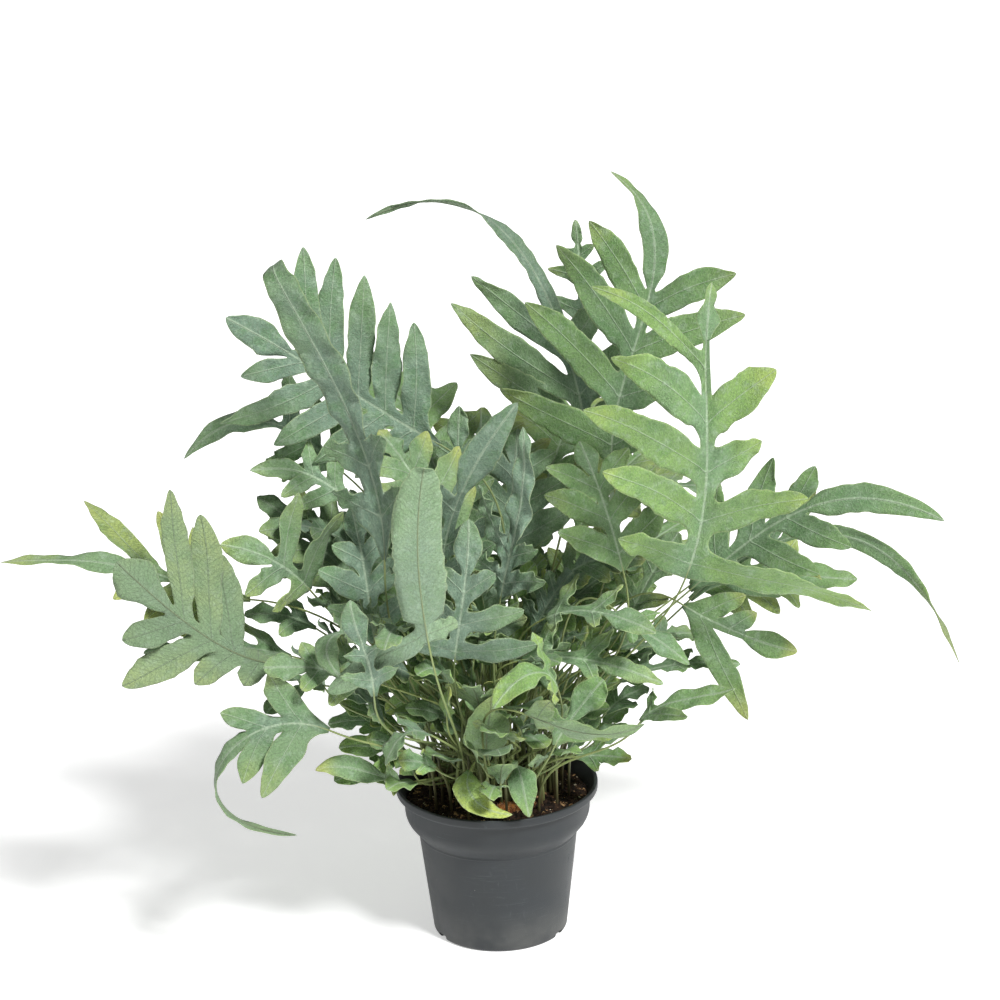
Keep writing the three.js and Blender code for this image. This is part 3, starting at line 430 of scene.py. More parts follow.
# %% Stipe finish
def stipe_material():
    material, tree, shader = new_material("stipe", Specular_IOR_Level=0.4)
    below, share, on_blade = attribute(tree, "place")
    hue, bright, _ = attribute(tree, "tone")
    where = spot(tree)
    streak = place(tree, "ShaderNodeMapping", {"Vector": where, "Scale": (900, 900, 40)})
    streaks = noise(tree, streak, 1.0, 2.0)
    green = tint(tree, hue, paint("76895c"), paint("98a868"))
    lower = calc(tree, "MULTIPLY", on_blade, below)
    colour = stained(
        tree, tint(tree, ramp(tree, share, 0.0, 0.26), paint("43382a"), green),
        ("b3c4ac", on_blade, 0.75),
        ("566a44", lower, 0.8),
        ("7a6a3c", ramp(tree, streaks, 0.35, 0.7, 0.0, 0.35), 1),
    )
    dull = ramp(tree, streaks, 0.3, 0.7, 0.42, 0.6)
    normal = bump(tree, streaks, 0.0003, 0.5)
    # bright is the frond's brightness, which for front_broad is raised as painted light against a cast
    # shadow
    wire(tree, shader, Base_Color=dimmed(tree, colour, bright), Roughness=dull, Normal=normal)
    return material


STIPE_FINISH = stipe_material()
print(len(LEAVES) + 1, "leaf and stipe finishes,", len(bpy.data.node_groups), "shared effects")

# %% [markdown]
# ## The fronds, row by row
#
# Each frond of the CAD model follows from one row of numbers, and the same rows give the fine blades
# here, so that each blade stays with its solid. *rib* is the blade's middle line through four points,
# from its neck to its tip. *face* is the way its upper side looks. A row of *lobes* says: place on the
# rib, then length and angle of the left lobe, then of the right one. Lengths are millimetres, and angles
# are degrees.

# %% The plant's own fronds
FRONT = [0, -1, 0.35]

PLACED = [
    dict(name="right_front", face=[0.1, -1, 0.3], width=35, tip=22, sag=0.16, curl=0.1, twist=60,
         rib=[[175, -70, 371], [192, -100, 471], [193, -95, 559], [200, -70, 645]],
         lobes=[[0.05, 84, 66, 165, 76], [0.2, 125, 54, 104, 58], [0.37, 150, 50, 60, 52],
         [0.54, 122, 45, 84, 48], [0.72, 150, 44, 0, 0]]),
    dict(name="right_top", face=[-0.1, -1, 0.3], width=31, tip=24, sag=0.08, curl=0.12, twist=70,
         rib=[[114, 10, 449], [131, 20, 547], [156, 40, 639], [118, 60, 716]],
         lobes=[[0.08, 122, 62, 50, 58], [0.23, 134, 56, 60, 54], [0.37, 132, 51, 112, 50],
         [0.5, 104, 46, 92, 50]]),
    dict(name="top_young", face=FRONT, width=15, tip=10, sag=0.02, curl=0.06,
         rib=[[93, 120, 546], [92, 125, 588], [90, 130, 621], [87, 135, 654]],
         lobes=[[0.16, 38, 60, 40, 60], [0.44, 34, 68, 36, 62], [0.66, 16, 66, 18, 60]]),
    dict(name="top_tail", face=[-0.1, -1, 0.2], width=30, tip=19, sag=0.02, curl=0.05, twist=150,
         rib=[[97, 70, 444], [74, 90, 548], [14, 110, 656], [-107, 110, 665]],
         lobes=[[0.09, 134, 44, 70, 60], [0.2, 150, 40, 74, 56], [0.31, 116, 34, 56, 50]]),
    dict(name="left_edge", face=[-0.55, -0.8, 0.3], width=26, tip=44, wing=17, fold=20, twist=30,
         sag=0.05, blunt=0.4,
         rib=[[-95, -60, 392], [-109, -50, 489], [-147, -50, 585], [-191, -60, 680]],
         lobes=[[0.14, 50, 56, 46, 54], [0.3, 44, 50, 44, 48]]),
    dict(name="left_fan", face=[0.05, -1, 0.12], width=27, tip=30, sag=0.01, curl=0.08, blunt=0.75,
         rib=[[-44, 40, 468], [-109, 40, 511], [-170, 30, 557], [-233, 20, 600]],
         lobes=[[0.12, 70, 70, 104, 60], [0.25, 80, 66, 108, 60], [0.38, 90, 62, 118, 59],
         [0.51, 110, 54, 118, 58], [0.64, 60, 44, 112, 56]]),
    dict(name="left_low", face=[0.12, 0.9, -0.5], width=32, tip=44, sag=0.06, curl=-0.06,
         rib=[[-199, -90, 308], [-238, -110, 331], [-281, -130, 374], [-326, -140, 426]],
         lobes=[[0.1, 0, 0, 26, 72], [0.28, 92, 62, 44, 66], [0.43, 118, 56, 86, 60],
         [0.6, 124, 48, 56, 56]]),
    dict(name="left_far", face=[0, -0.75, 0.65], width=22, tip=20, sag=0.06, curl=0.1, twist=50,
         rib=[[-221, -20, 343], [-273, -40, 366], [-333, -60, 394], [-437, -80, 407]],
         lobes=[[0.2, 60, 60, 66, 60], [0.36, 62, 54, 74, 52], [0.52, 52, 44, 96, 34]]),
    dict(name="left_curl", face=[0.1, -0.9, 0.4], width=30, tip=17, sag=0.1, curl=0.05, twist=170,
         rib=[[-149, -110, 249], [-223, -130, 252], [-250, -140, 202], [-179, -150, 165]],
         lobes=[[0.1, 74, 62, 60, 52], [0.24, 52, 48, 44, 40]]),
    dict(name="centre_pale", face=[-0.05, 1, -0.1], width=28, tip=50, sag=0.12, curl=0.04,
         blunt=0.35, twist=0,
         rib=[[-56, -150, 346], [-61, -160, 396], [-62, -163, 446], [-57, -158, 496]],
         lobes=[[0.06, 30, 80, 104, 112]]),
    dict(name="centre_blue", face=[0.3, -1, 0.3], width=26, tip=30, sag=0.03, curl=0.1,
         rib=[[-47, -40, 345], [-37, -60, 419], [-11, -70, 483], [28, -70, 540]],
         lobes=[[0.12, 54, 56, 60, 54], [0.26, 62, 54, 54, 50], [0.43, 44, 52, 0, 0]]),
    dict(name="centre_wavy", face=[-0.5, -1, 0.2], width=24, tip=22, sag=0.03, curl=0.06,
         wave=3.4, waves=2.4,
         rib=[[8, -90, 362], [20, -100, 417], [30, -105, 470], [32, -100, 527]],
         lobes=[[0.1, 46, 62, 50, 60], [0.26, 74, 36, 36, 50]]),
    dict(name="centre_round", face=FRONT, width=25, tip=24, sag=0.06, curl=0.12, blunt=0.5,
         rib=[[-34, -110, 314], [-28, -125, 357], [-21, -130, 406], [-18, -125, 451]],
         lobes=[[0.08, 50, 70, 78, 66], [0.3, 42, 56, 64, 60], [0.52, 34, 46, 36, 46]]),
    dict(name="left_cup", face=[0.1, -0.9, 0.4], width=24, tip=26, sag=0.02, curl=-0.12, blunt=0.55,
         rib=[[-166, -20, 351], [-186, -40, 380], [-212, -50, 399], [-242, -60, 411]],
         lobes=[[0.1, 44, 66, 84, 58], [0.36, 50, 58, 74, 60]]),
    dict(name="left_wavy", face=[0, -0.8, 0.6], width=19, tip=21, sag=0.05, curl=0.05,
         wave=3.2, waves=2.6,
         rib=[[-139, 80, 433], [-170, 80, 463], [-220, 80, 484], [-283, 70, 451]],
         lobes=[[0.12, 54, 62, 60, 62], [0.3, 50, 60, 46, 62], [0.44, 0, 0, 60, 62]]),
    dict(name="right_long", face=[0, -0.85, 0.55], width=27, tip=27, sag=0.04, curl=0.08, twist=30,
         rib=[[185, 30, 322], [247, 20, 378], [322, 10, 414], [417, 0, 394]],
         lobes=[[0.14, 80, 48, 70, 60], [0.3, 84, 38, 76, 58], [0.46, 56, 34, 70, 50]]),
    dict(name="right_tail", face=[0.1, -0.8, 0.6], width=15, tip=19, sag=0.08, curl=0.06,
         wave=2.6, twist=110,
         rib=[[188, 80, 294], [264, 80, 347], [357, 70, 348], [441, 50, 233]],
         lobes=[[0.14, 66, 50, 60, 56], [0.33, 70, 46, 62, 54], [0.39, 56, 44, 0, 0]]),
    dict(name="right_low", face=[0, -0.8, 0.6], width=26, tip=26, sag=0.05, curl=0.05,
         rib=[[175, -30, 330], [203, -40, 316], [239, -50, 302], [277, -60, 293]],
         lobes=[[0.2, 46, 54, 104, 38], [0.46, 30, 56, 0, 0]]),
    dict(name="right_back", face=[0, -0.6, 0.8], width=26, tip=28, sag=0.08, curl=0.08,
         rib=[[191, 120, 294], [239, 130, 304], [297, 130, 298], [353, 130, 292]],
         lobes=[[0.1, 56, 60, 70, 72], [0.3, 62, 57, 66, 57], [0.49, 48, 54, 52, 55]]),
    dict(name="right_small", face=[0.2, -0.6, 0.8], width=18, tip=24, sag=0.05, curl=0.05,
         rib=[[114, -60, 336], [133, -70, 324], [155, -80, 311], [177, -85, 293]],
         lobes=[[0.2, 30, 58, 26, 50]]),
    dict(name="right_flat", face=[0.1, -0.5, 0.85], width=14, tip=22, sag=0, curl=0.05,
         rib=[[131, -110, 249], [153, -120, 269], [184, -125, 278], [215, -130, 287]],
         lobes=[[0.14, 24, 56, 62, 38]]),
    dict(name="front_pale", face=[0.1, 0.7, 0.6], width=26, tip=26, sag=0, curl=0.04,
         rib=[[27, -150, 276], [58, -160, 267], [93, -160, 259], [133, -155, 266]],
         lobes=[[0.12, 30, 74, 34, 70]]),
    dict(name="front_green", face=[0.3, -0.7, 0.6], width=26, tip=28, sag=0.02, curl=0.08, blunt=0.55,
         rib=[[54, -110, 229], [68, -120, 257], [86, -125, 283], [98, -125, 297]],
         lobes=[[0.22, 36, 64, 50, 58]]),
    dict(name="front_broad", face=[0, 1, 0.2], width=20, tip=42, sag=0, blunt=0.6,
         rib=[[-7, -100, 196], [-8, -110, 221], [-5, -112, 241], [-2, -110, 263]]),
    dict(name="front_arch", face=[0.1, -0.5, 0.85], width=22, wing=7.8, fold=6, tip=28,
         sag=0.02, curl=0.06, blunt=0.55,
         rib=[[56, -118, 280], [43, -134, 302], [22, -146, 301], [-2, -152, 276]],
         lobes=[[0.2, 46, 66, 44, 64]]),
    dict(name="front_yellow", face=[0.3, -0.6, 0.7], width=16, tip=30, sag=0, blunt=0.8,
         rib=[[-24, -92, 198], [-25, -110, 186], [-11, -117, 172], [14, -120, 166]]),
    dict(name="front_point", face=[0.2, -0.9, 0.4], width=16, tip=27, sag=0, blunt=0.8,
         rib=[[19, -84, 198], [23, -100, 190], [26, -107, 174], [29, -109, 158]]),
    dict(name="left_pale", face=[-0.5, -0.35, 0.8], width=22, tip=26, sag=0.02, blunt=0.55,
         rib=[[-50, -110, 232], [-67, -120, 240], [-81, -125, 232], [-91, -130, 212]],
         lobes=[[0.26, 26, 66, 28, 66]]),
    dict(name="left_tongue", face=[0, -0.7, 0.7], width=18, tip=24, sag=0,
         rib=[[-89, -60, 177], [-111, -80, 194], [-137, -90, 206], [-164, -100, 208]],
         lobes=[[0.1, 22, 60, 20, 60]]),
    dict(name="left_mid", face=[-0.45, -0.5, 0.75], width=22, tip=25, sag=0.02, curl=0.1, blunt=0.6,
         rib=[[-118, -100, 331], [-138, -115, 343], [-147, -127, 333], [-135, -135, 310]],
         lobes=[[0.14, 28, 60, 26, 60]]),
    dict(name="left_bud", face=[0.1, -1, 0.2], width=18, tip=25, sag=0, blunt=0.6,
         rib=[[-109, -110, 287], [-113, -120, 325], [-121, -125, 355], [-126, -125, 384]],
         lobes=[[0.14, 32, 62, 28, 64], [0.38, 22, 62, 20, 62]]),
    dict(name="left_high", face=[0, -0.8, 0.6], width=20, tip=20, sag=0.03, curl=0.05,
         rib=[[-128, 20, 423], [-154, 20, 443], [-181, 20, 454], [-218, 15, 456]],
         lobes=[[0.16, 46, 58, 40, 58], [0.42, 38, 58, 34, 58]]),
]

# %% [markdown]
# ## The fronds between them
#
# The rest of the crown follows rules. *neck* is where the blade starts, *heading* the way it leans, from
# +X towards +Y, *rise* its angle above the horizontal, and *droop* how far its tip sinks. A band is a
# row of fronds round the back. A tuft is a handful of young fronds that spring from one point. Random
# draws come from a formula with a seed, the same one that the CAD uses, so both agree on each number.

# %% The fronds between them
BETWEEN = [
    dict(name="mid_left", neck=[-105, -62, 312], heading=115, rise=80,
         length=140, droop=0.1, pairs=3, lobe=58),
    dict(name="mid_low", neck=[-70, -75, 262], heading=200, rise=62,
         length=105, droop=0.2, pairs=2, lobe=44),
    dict(name="left_behind", neck=[-135, 25, 325], heading=165, rise=55,
         length=140, droop=0.2, pairs=3, lobe=72),
    dict(name="left_under", neck=[-185, -5, 285], heading=195, rise=22,
         length=135, droop=0.2, pairs=3, lobe=64),
    dict(name="left_inner", neck=[-66, 30, 355], heading=150, rise=65,
         length=150, droop=0.2, pairs=3, lobe=78),
    dict(name="centre_lime", neck=[-28, 45, 398], heading=95, rise=78,
         length=110, droop=0.1, pairs=2, lobe=54),
    dict(name="centre_dark", neck=[18, 40, 350], heading=80, rise=72,
         length=150, droop=0.2, pairs=3, lobe=84),
    dict(name="centre_low", neck=[-5, -20, 290], heading=250, rise=76,
         length=110, droop=0.2, pairs=2, lobe=56),
    dict(name="right_inner", neck=[98, 0, 350], heading=125, rise=68,
         length=145, droop=0.2, pairs=3, lobe=84),
    dict(name="right_dark", neck=[62, 20, 292], heading=60, rise=55,
         length=130, droop=0.3, pairs=3, lobe=72),
    dict(name="right_mid", neck=[112, -22, 262], heading=-12, rise=30,
         length=110, droop=0.3, pairs=2, lobe=44),
]

# Bands: from which heading to which, and least and greatest reach, height and blade length.
BANDS = [
    dict(name="back_high", count=4, start=35, end=125, reach=[60, 130], height=[340, 440], blade=[150, 190],
         pairs=3, lobe=88),
    dict(name="back_low", count=4, start=20, end=150, reach=[110, 180], height=[230, 310], blade=[130, 170],
         pairs=3, lobe=74),
]

TUFTS = [
    dict(name="tuft_front", count=6, heading=-112, fan=120, reach=[44, 86],
         height=[185, 285], blade=[60, 88]),
    dict(name="tuft_left", count=4, heading=205, fan=110, reach=[48, 84],
         height=[180, 265], blade=[58, 92]),
    dict(name="tuft_right", count=4, heading=-38, fan=90, reach=[46, 84],
         height=[180, 270], blade=[60, 90]),
    dict(name="tuft_inner", count=5, heading=-150, fan=150, reach=[26, 56],
         height=[235, 320], blade=[70, 105]),
]

# Sprouts: the youngest fronds, low in the middle, undivided and spoon-shaped.
SPROUTS = dict(
    name="tuft_sprouts", count=6, heading=-105, fan=150, reach=[22, 78], height=[172, 262], blade=[46, 74],
)

DEGREE = math.pi / 180
BLADE_WIDTHS = (19, 27)  # a blade is wider the longer it is
LONG_BLADE = 150
TO_LIGHT = {"steep": 0.4, "flat": 0.15, "limit": 0.9}  # steep fronds turn their face further to the light
SWAY_ASIDE = 0.16  # how far a blade may bend to the side, as a share of its length
TUFT_REACH = 92  # a frond leans further the further out it starts, and this is where it leans most
BAND_REACH = 190


def unit(v):
    return v / np.linalg.norm(v, axis=-1, keepdims=True)


def mix(a, b, share):
    return a + (b - a) * share


def chance(seed):
    """A repeatable number from 0 to 1 for a seed."""
    wide = math.sin(seed * 12.9898 + 4.1414) * 43758.5453
    return wide - math.floor(wide)


def between_frond(row, seed):
    heading, rise = row["heading"] * DEGREE, row["rise"] * DEGREE
    outward = np.array([math.cos(heading), math.sin(heading), 0])
    sideways = np.array([-outward[1], outward[0], 0])
    upright = np.array([0, 0, 1.0])
    sway = SWAY_ASIDE * (chance(seed + 1) - 0.5)
    rib = []
    for t in (0, 1 / 3, 2 / 3, 1):
        along = row["length"] * t
        point = np.array(row["neck"]) + outward * along * (math.cos(rise) + 0.5 * row["droop"] * t)
        point = point + sideways * sway * along * t
        rib.append(point + upright * along * (math.sin(rise) - row["droop"] * t))
    face = -outward * math.sin(rise) + upright * math.cos(rise)
    width = row.get("width", mix(*BLADE_WIDTHS, row["length"] / LONG_BLADE))
    light = unit(np.array(FRONT, float))
    aim = (outward * math.cos(rise) + upright * math.sin(rise)) @ light
    by_rise = TO_LIGHT["steep" if rise > TO_LIGHT["limit"] else "flat"]
    turned = row.get("to_light", by_rise) * (1 - aim * aim)
    face = mix(face, light, turned)
    defaults = dict(sweep=58, tip=0.85 * width, sag=0.1, curl=0.07, twist=50 * (chance(seed + 2) - 0.5))
    return {**defaults, **row, "rib": rib, "face": face, "width": width}


def pick(rule, name, seed):
    """A draw between the two limits that a rule gives under this name."""
    return mix(*rule[name], chance(seed))


def neck_by_rule(rule, heading, seed):
    """How far out a blade starts, and where."""
    out, turn = pick(rule, "reach", seed + 1), heading * DEGREE
    return out, [out * math.cos(turn), out * math.sin(turn), pick(rule, "height", seed + 2)]


def band_row(band, index, seed):
    heading = mix(band["start"], band["end"], (index + 0.25 + 0.5 * chance(seed)) / band["count"])
    out, neck = neck_by_rule(band, heading, seed)
    return dict(
        name=f"{band['name']}_{index + 1}", neck=neck, heading=heading, rise=mix(66, 30, out / BAND_REACH),
        length=pick(band, "blade", seed + 3), droop=0.3, pairs=band["pairs"], lobe=band["lobe"],
    )


def tuft_row(tuft, index, seed):
    spread = tuft["fan"] * ((index + 0.5) / tuft["count"] - 0.5)
    heading = tuft["heading"] + spread + 20 * (chance(seed) - 0.5)
    out, neck = neck_by_rule(tuft, heading, seed)
    return dict(
        name=tuft["name"], neck=neck, heading=heading, rise=mix(80, 35, out / TUFT_REACH),
        length=pick(tuft, "blade", seed + 3), droop=0.3, width=23, to_light=0.75, blunt=0.45, wing=6,
        pairs=1 if index % 3 else 2, lobe=38,
    )


def sprout_row(sprouts, index, seed):
    """An undivided, spoon-shaped young frond."""
    return {**tuft_row(sprouts, index, seed), "pairs": 0, "width": 27, "tip": 30, "blunt": 0.42}


def lobes_by_rule(row, seed):
    """Opposite lobes: longest a third of the way up, and swept further forward towards the tip."""
    pairs = row.get("pairs", 0)
    lobes = []
    for i in range(pairs):
        up = i / (pairs - 1) if pairs > 1 else 0.4
        size = row["lobe"] * (0.82 + 0.4 * up - 0.6 * up * up)
        draws = [chance(seed + 13 * i + offset) for offset in (1, 2, 3, 4)]
        longs = [size * (0.88 + 0.24 * draw) for draw in draws[::2]]
        angles = [row["sweep"] * (1 - 0.08 * up) + 3 * (draw - 0.5) for draw in draws[1::2]]
        place_on_rib = 0.12 + (0.46 if pairs > 2 else 0.36) * up
        lobes.append([place_on_rib, longs[0], angles[0], longs[1], angles[1]])
    return lobes


# taper: width of the wing at the last cut, as a share of that at the first. flare: how fast the end lobe
# widens. hook: it rolls over from this share of its length on, by so many degrees, and a negative roll
# turns its underside in. slim: lobes that are narrower than the others, with their share of the width.
# far: where the end lobe stops, as a share of the rib.
PLAIN = dict(
    sag=0.05, curl=0, fold=12, twist=0, cup=0.06, wave=1.6, waves=1.6, blunt=0.58,
    taper=0.5, flare=0.42, hook=(1, 0), slim={}, far=1,
)
FINER = {
    "left_edge": dict(taper=0.85, wing=12, tip=34, wave=2.8, waves=3.1, hook=(0.84, -150)),
    "centre_pale": dict(taper=1.0, flare=1.6, tip=45, wave=2.6, far=1.12, hook=(0.95, -120)),
    "left_fan": dict(blunt=0.56), "left_low": dict(blunt=0.5),
    "right_front": dict(taper=0.25, slim={4: 0.45}), "right_top": dict(taper=0.4),
    "top_tail": dict(taper=0.4),
}


def completed(row, seed):
    rib = np.array(row["rib"], float)
    length = np.linalg.norm(np.diff(rib, axis=0), axis=1).sum()
    face = unit(np.array(row["face"], float))
    lobes = row.get("lobes", lobes_by_rule(row, seed))
    done = {**PLAIN, "wing": 0.32 * row["width"], **row, **FINER.get(row["name"], {})}
    return {**done, "seed": seed, "lobes": lobes, "rib": rib, "length": length, "face": face}


def tuft_plant(tuft, row_of, first_seed):
    seeds = [first_seed + 17 * i for i in range(tuft["count"])]
    rows = [between_frond(row_of(tuft, i, seed), seed) for i, seed in enumerate(seeds)]
    return tuft["name"], [completed(*pair) for pair in zip(rows, seeds)]


def all_plants():
    """Every plant's name and fronds, in the order and with the seeds of the CAD model."""
    plants = [(row["name"], [completed(row, 100 + 17 * i)]) for i, row in enumerate(PLACED)]
    plants += [tuft_plant(tuft, tuft_row, 3000 + 200 * b) for b, tuft in enumerate(TUFTS)]
    plants.append(tuft_plant(SPROUTS, sprout_row, 4400))
    for i, row in enumerate(BETWEEN):
        seed = 1000 + 17 * i
        plants.append((row["name"], [completed(between_frond(row, seed), seed)]))
    for b, band in enumerate(BANDS):
        for i in range(band["count"]):
            seed = 2000 + 200 * b + 17 * i
            row = band_row(band, i, seed)
            plants.append((row["name"], [completed(between_frond(row, seed), seed)]))
    return plants


PLANTS = all_plants()
print(len(PLANTS), "plants with", sum(len(fronds) for _, fronds in PLANTS), "fronds")

# %% [markdown]
# ## The surface of a frond
#
# A blade is a surface with two directions: q runs from the rib to a lobe's tip, and v runs across the
# lobe from -1 to 1. These formulas are the CAD's own, written for whole arrays of q and v, so that one
# call gives a fine grid of points instead of a few corners. numpy does each step on all points at once.
#
# What a coarse blade can't carry is added: full, strap-shaped lobes whose margins ripple, a slow sway of
# each lobe to the side, and a roll. By the roll each lobe's lower margin dips under the lobe below it, as
# tiles overlap on a roof, so wide lobes don't cut through each other.


# %% The surface of a frond
def smooth(x):
    x = np.clip(x, 0, 1)
    return x * x * (3 - 2 * x)


def through(points, t):
    """A cubic through four points, reached at 0, 1/3, 2/3 and 1."""
    t = np.asarray(t, float)[..., None]
    low, high = t - 1 / 3, t - 2 / 3
    return (
        -4.5 * low * high * (t - 1) * points[0] + 13.5 * t * high * (t - 1) * points[1]
        - 13.5 * t * low * (t - 1) * points[2] + 4.5 * t * low * high * points[3]
    )


def cut_at(lobes, index):
    """Place along the rib of the cut below a lobe. The end lobe starts at the last cut."""
    if index == 0:
        return 0
    below = lobes[index - 1][0]
    if index < len(lobes):
        return (below + lobes[index][0]) / 2
    return below + min(0.11, below - cut_at(lobes, index - 1))


def tip_start(frond):
    return cut_at(frond["lobes"], len(frond["lobes"]))


def rib_at(frond, t):
    """Place, direction, upper side and right-hand side of the rib."""
    t = np.asarray(t, float)
    at = through(frond["rib"], t)
    along = unit(through(frond["rib"], t + 0.01) - through(frond["rib"], t - 0.01))
    face = frond["face"]
    up = unit(face - along * (along @ face)[..., None])
    start = tip_start(frond)
    turn = (frond["twist"] * DEGREE * np.maximum(0, (t - start) / (1 - start)))[..., None]
    up = up * np.cos(turn) + np.cross(along, up) * np.sin(turn)
    return at, along, up, np.cross(along, up)


STRAP = {"foot": 0.78, "widest": 0.35}  # a lobe's width at its foot, and from where on it is full


def width_share(q, blunt):
    """Share of a lobe's full width: a strap with nearly parallel sides that ends round or in a point."""
    pointed = np.clip((blunt - 0.4) / 0.3, 0, 1)
    late = np.clip((q - STRAP["widest"]) / (1 - STRAP["widest"]), 0, 1)
    tip = (1 - late ** mix(3.0, 1.6, pointed)) ** mix(0.5, 0.9, pointed)
    return mix(STRAP["foot"], 1, smooth(q / STRAP["widest"])) * tip


TIP_FADE = 0.12  # over this last share of a lobe its margins settle on the tip
WAVES = 1.4  # margins wave this many times as high as those of the CAD blades
RUFFLE = {"height": 0.95, "length": 19}  # short waves on top of them, in millimetres


def margin_lift(frond, q, v, width, length, phase):
    """Lift of a blade's margin: a shallow gutter, the wave along the edge, and the short ruffles on it."""
    pace = frond["waves"] * (0.8 + 0.9 * phase)
    wave = WAVES * frond["wave"] * np.sin(2 * np.pi * (pace * q + phase + 0.31 * v))
    ruffles = length / RUFFLE["length"] * (0.85 + 0.3 * phase)
    uneven = 0.6 + 0.4 * np.sin(9 * q + 6 * phase)
    ruffle = np.sin(2 * np.pi * (ruffles * q + 2.3 * phase + 0.23 * v)) * uneven
    out = np.abs(v)
    lift = out * (frond["cup"] * width * out + wave) + RUFFLE["height"] * out**2.5 * ruffle
    return lift * np.minimum(1, (1 - q) / TIP_FADE)


RIPPLE = {"share": 0.065, "length": 17}  # how far a margin strays from its smooth outline, and how often


def ripple(seed, q, v, length):
    first, second = chance(seed + 0.3), chance(seed + 0.7)
    phase = np.where(v < 0, first, second)
    slow = np.sin(2 * np.pi * ((1.3 + second) * q + phase))
    quick = np.sin(2 * np.pi * (length / RIPPLE["length"] * (0.8 + 0.4 * first) * q + 2 * phase))
    uneven = 0.5 + 0.5 * np.sin(2 * np.pi * (1.7 * q + 3 * phase))
    return 1 + RIPPLE["share"] * np.abs(v) * (slow + 0.8 * quick * uneven)


FULL = {"width": 1.02, "overlap": 0.5}  # fuller lobes than the CAD's
ROOM = 0.86  # share of the room between two cuts that a lobe fills at its foot
SHORT = {"least": 0.55, "length": 160}  # short lobes are narrower than long ones
ROLL = 10  # degrees that each lobe rolls, its lower margin down
LOBE_TURN = 34  # most degrees that a lobe turns further towards its tip
TURN_FROM = 0.25  # share of a lobe's length from which it does so
SWAY = 0.035  # how far a lobe's midrib strays sideways, as a share of its length
HEAVE = 0.022  # how far it strays up and down


def lobe_side(frond, index, side):
    """Length and angle of one lobe."""
    row = frond["lobes"][index]
    return (row[1], row[2] * DEGREE) if side < 0 else (row[3], row[4] * DEGREE)


def lobe_points(frond, index, side, q, v):
    """Points on a side lobe, and the blade's width there."""
    length, angle = lobe_side(frond, index, side)
    t, seed = frond["lobes"][index][0], frond["seed"]
    at, along, up, right = rib_at(frond, t)
    fold = frond["fold"] * DEGREE
    outward = right * side * math.cos(fold) + up * math.sin(fold)
    start = along * math.cos(angle) + outward * math.sin(angle)
    sway = 0.7 * (chance(seed + 7 * index + side) - 0.5)
    bend = -up * frond["curl"] * (1 + sway) - np.array([0, 0, frond["sag"]])
    reach = (length * q)[..., None]
    middle = at + start * reach + bend * reach**2 / 100
    heading = unit(start + bend * reach / 50)
    face = up * math.cos(fold) - right * side * math.sin(fold)
    face = unit(face - heading * (heading @ face)[..., None])
    stray = [2 * chance(seed + 19 * index + 3 * side + k) - 1 for k in (0, 0.37, 0.71)]
    arch = length * np.sin(np.pi * q)
    middle = middle + np.cross(heading, face) * (SWAY * stray[1] * arch)[..., None]
    middle = middle + face * (HEAVE * arch * np.sin(np.pi * (1.5 * q + stray[2])))[..., None]
    late = np.clip((q - TURN_FROM) / (1 - TURN_FROM), 0, 1) ** 1.5
    turn = ((ROLL * side * smooth(q / 0.3) + LOBE_TURN * stray[0] * late) * DEGREE)[..., None]
    face = face * np.cos(turn) + np.cross(heading, face) * np.sin(turn)
    across = np.cross(heading, face)
    last = index == len(frond["lobes"]) - 1
    above = (0.8 if last else 1) * (cut_at(frond["lobes"], index + 1) - t)
    below = t - cut_at(frond["lobes"], index) if index else 1
    room = np.where(v * side < 0, above, below)
    most = ROOM * room * frond["length"] * math.sin(angle) * (1 + FULL["overlap"] * smooth(q / 0.55))
    most = most * frond["slim"].get(index, 1)
    by_length = min(1, SHORT["least"] + length / SHORT["length"])
    full = np.minimum(most, FULL["width"] * frond["width"] / 2 * by_length)
    width = full * width_share(q, frond["blunt"]) * ripple(seed + 31 * index + side, q, v, length)
    lift = margin_lift(frond, q, v, width, length, chance(seed + 3 * index + 11 * side))
    skew = -v * side * width * (1 - q) / math.tan(angle)
    points = middle + across * (v * width)[..., None] + heading * skew[..., None] + face * lift[..., None]
    return points, width


def hooked(frond, t):
    """Place, direction, upper side and right-hand side of the rib, with its end rolled over."""
    at, along, up, right = rib_at(frond, t)
    share, degrees = frond["hook"]
    if not degrees:
        return at, along, up, right
    far = frond["far"]
    start = mix(tip_start(frond), far, share)
    from_at, from_along, from_up, from_right = rib_at(frond, np.array(start))
    radius = (far - start) * frond["length"] / (degrees * DEGREE)
    turn = (degrees * DEGREE * (np.asarray(t, float) - start) / (far - start))[..., None]
    past = turn / degrees > 0
    rolled = from_at + radius * (from_along * np.sin(turn) + from_up * (1 - np.cos(turn)))
    way = from_along * np.cos(turn) + from_up * np.sin(turn)
    over = from_up * np.cos(turn) - from_along * np.sin(turn)
    bent = (rolled, way, over, from_right + 0 * way)
    return tuple(np.where(past, new, old) for new, old in zip(bent, (at, along, up, right)))


def wing_at(frond, t):
    """Width of the wing beside the rib, which narrows from the first lobes to the last."""
    start = tip_start(frond) or 1
    return frond["wing"] * mix(1, frond["taper"], np.clip(t / start, 0, 1))


def tip_points(frond, q, v):
    """Points on the end lobe, which follows the rib to the frond's tip, and its width there."""
    start = tip_start(frond)
    length = (frond["far"] - start) * frond["length"]
    at, _, up, right = hooked(frond, mix(start, frond["far"], q))
    most = wing_at(frond, start) + frond["flare"] * q * length if start else frond["tip"]
    width = np.minimum(most, FULL["width"] * frond["tip"] / 2 * width_share(q, frond["blunt"]))
    width = width * ripple(frond["seed"] + 5, q, v, length)
    lift = margin_lift(frond, q, v, width, length, chance(frond["seed"] + 5))
    return at + right * (v * width)[..., None] + up * lift[..., None], width


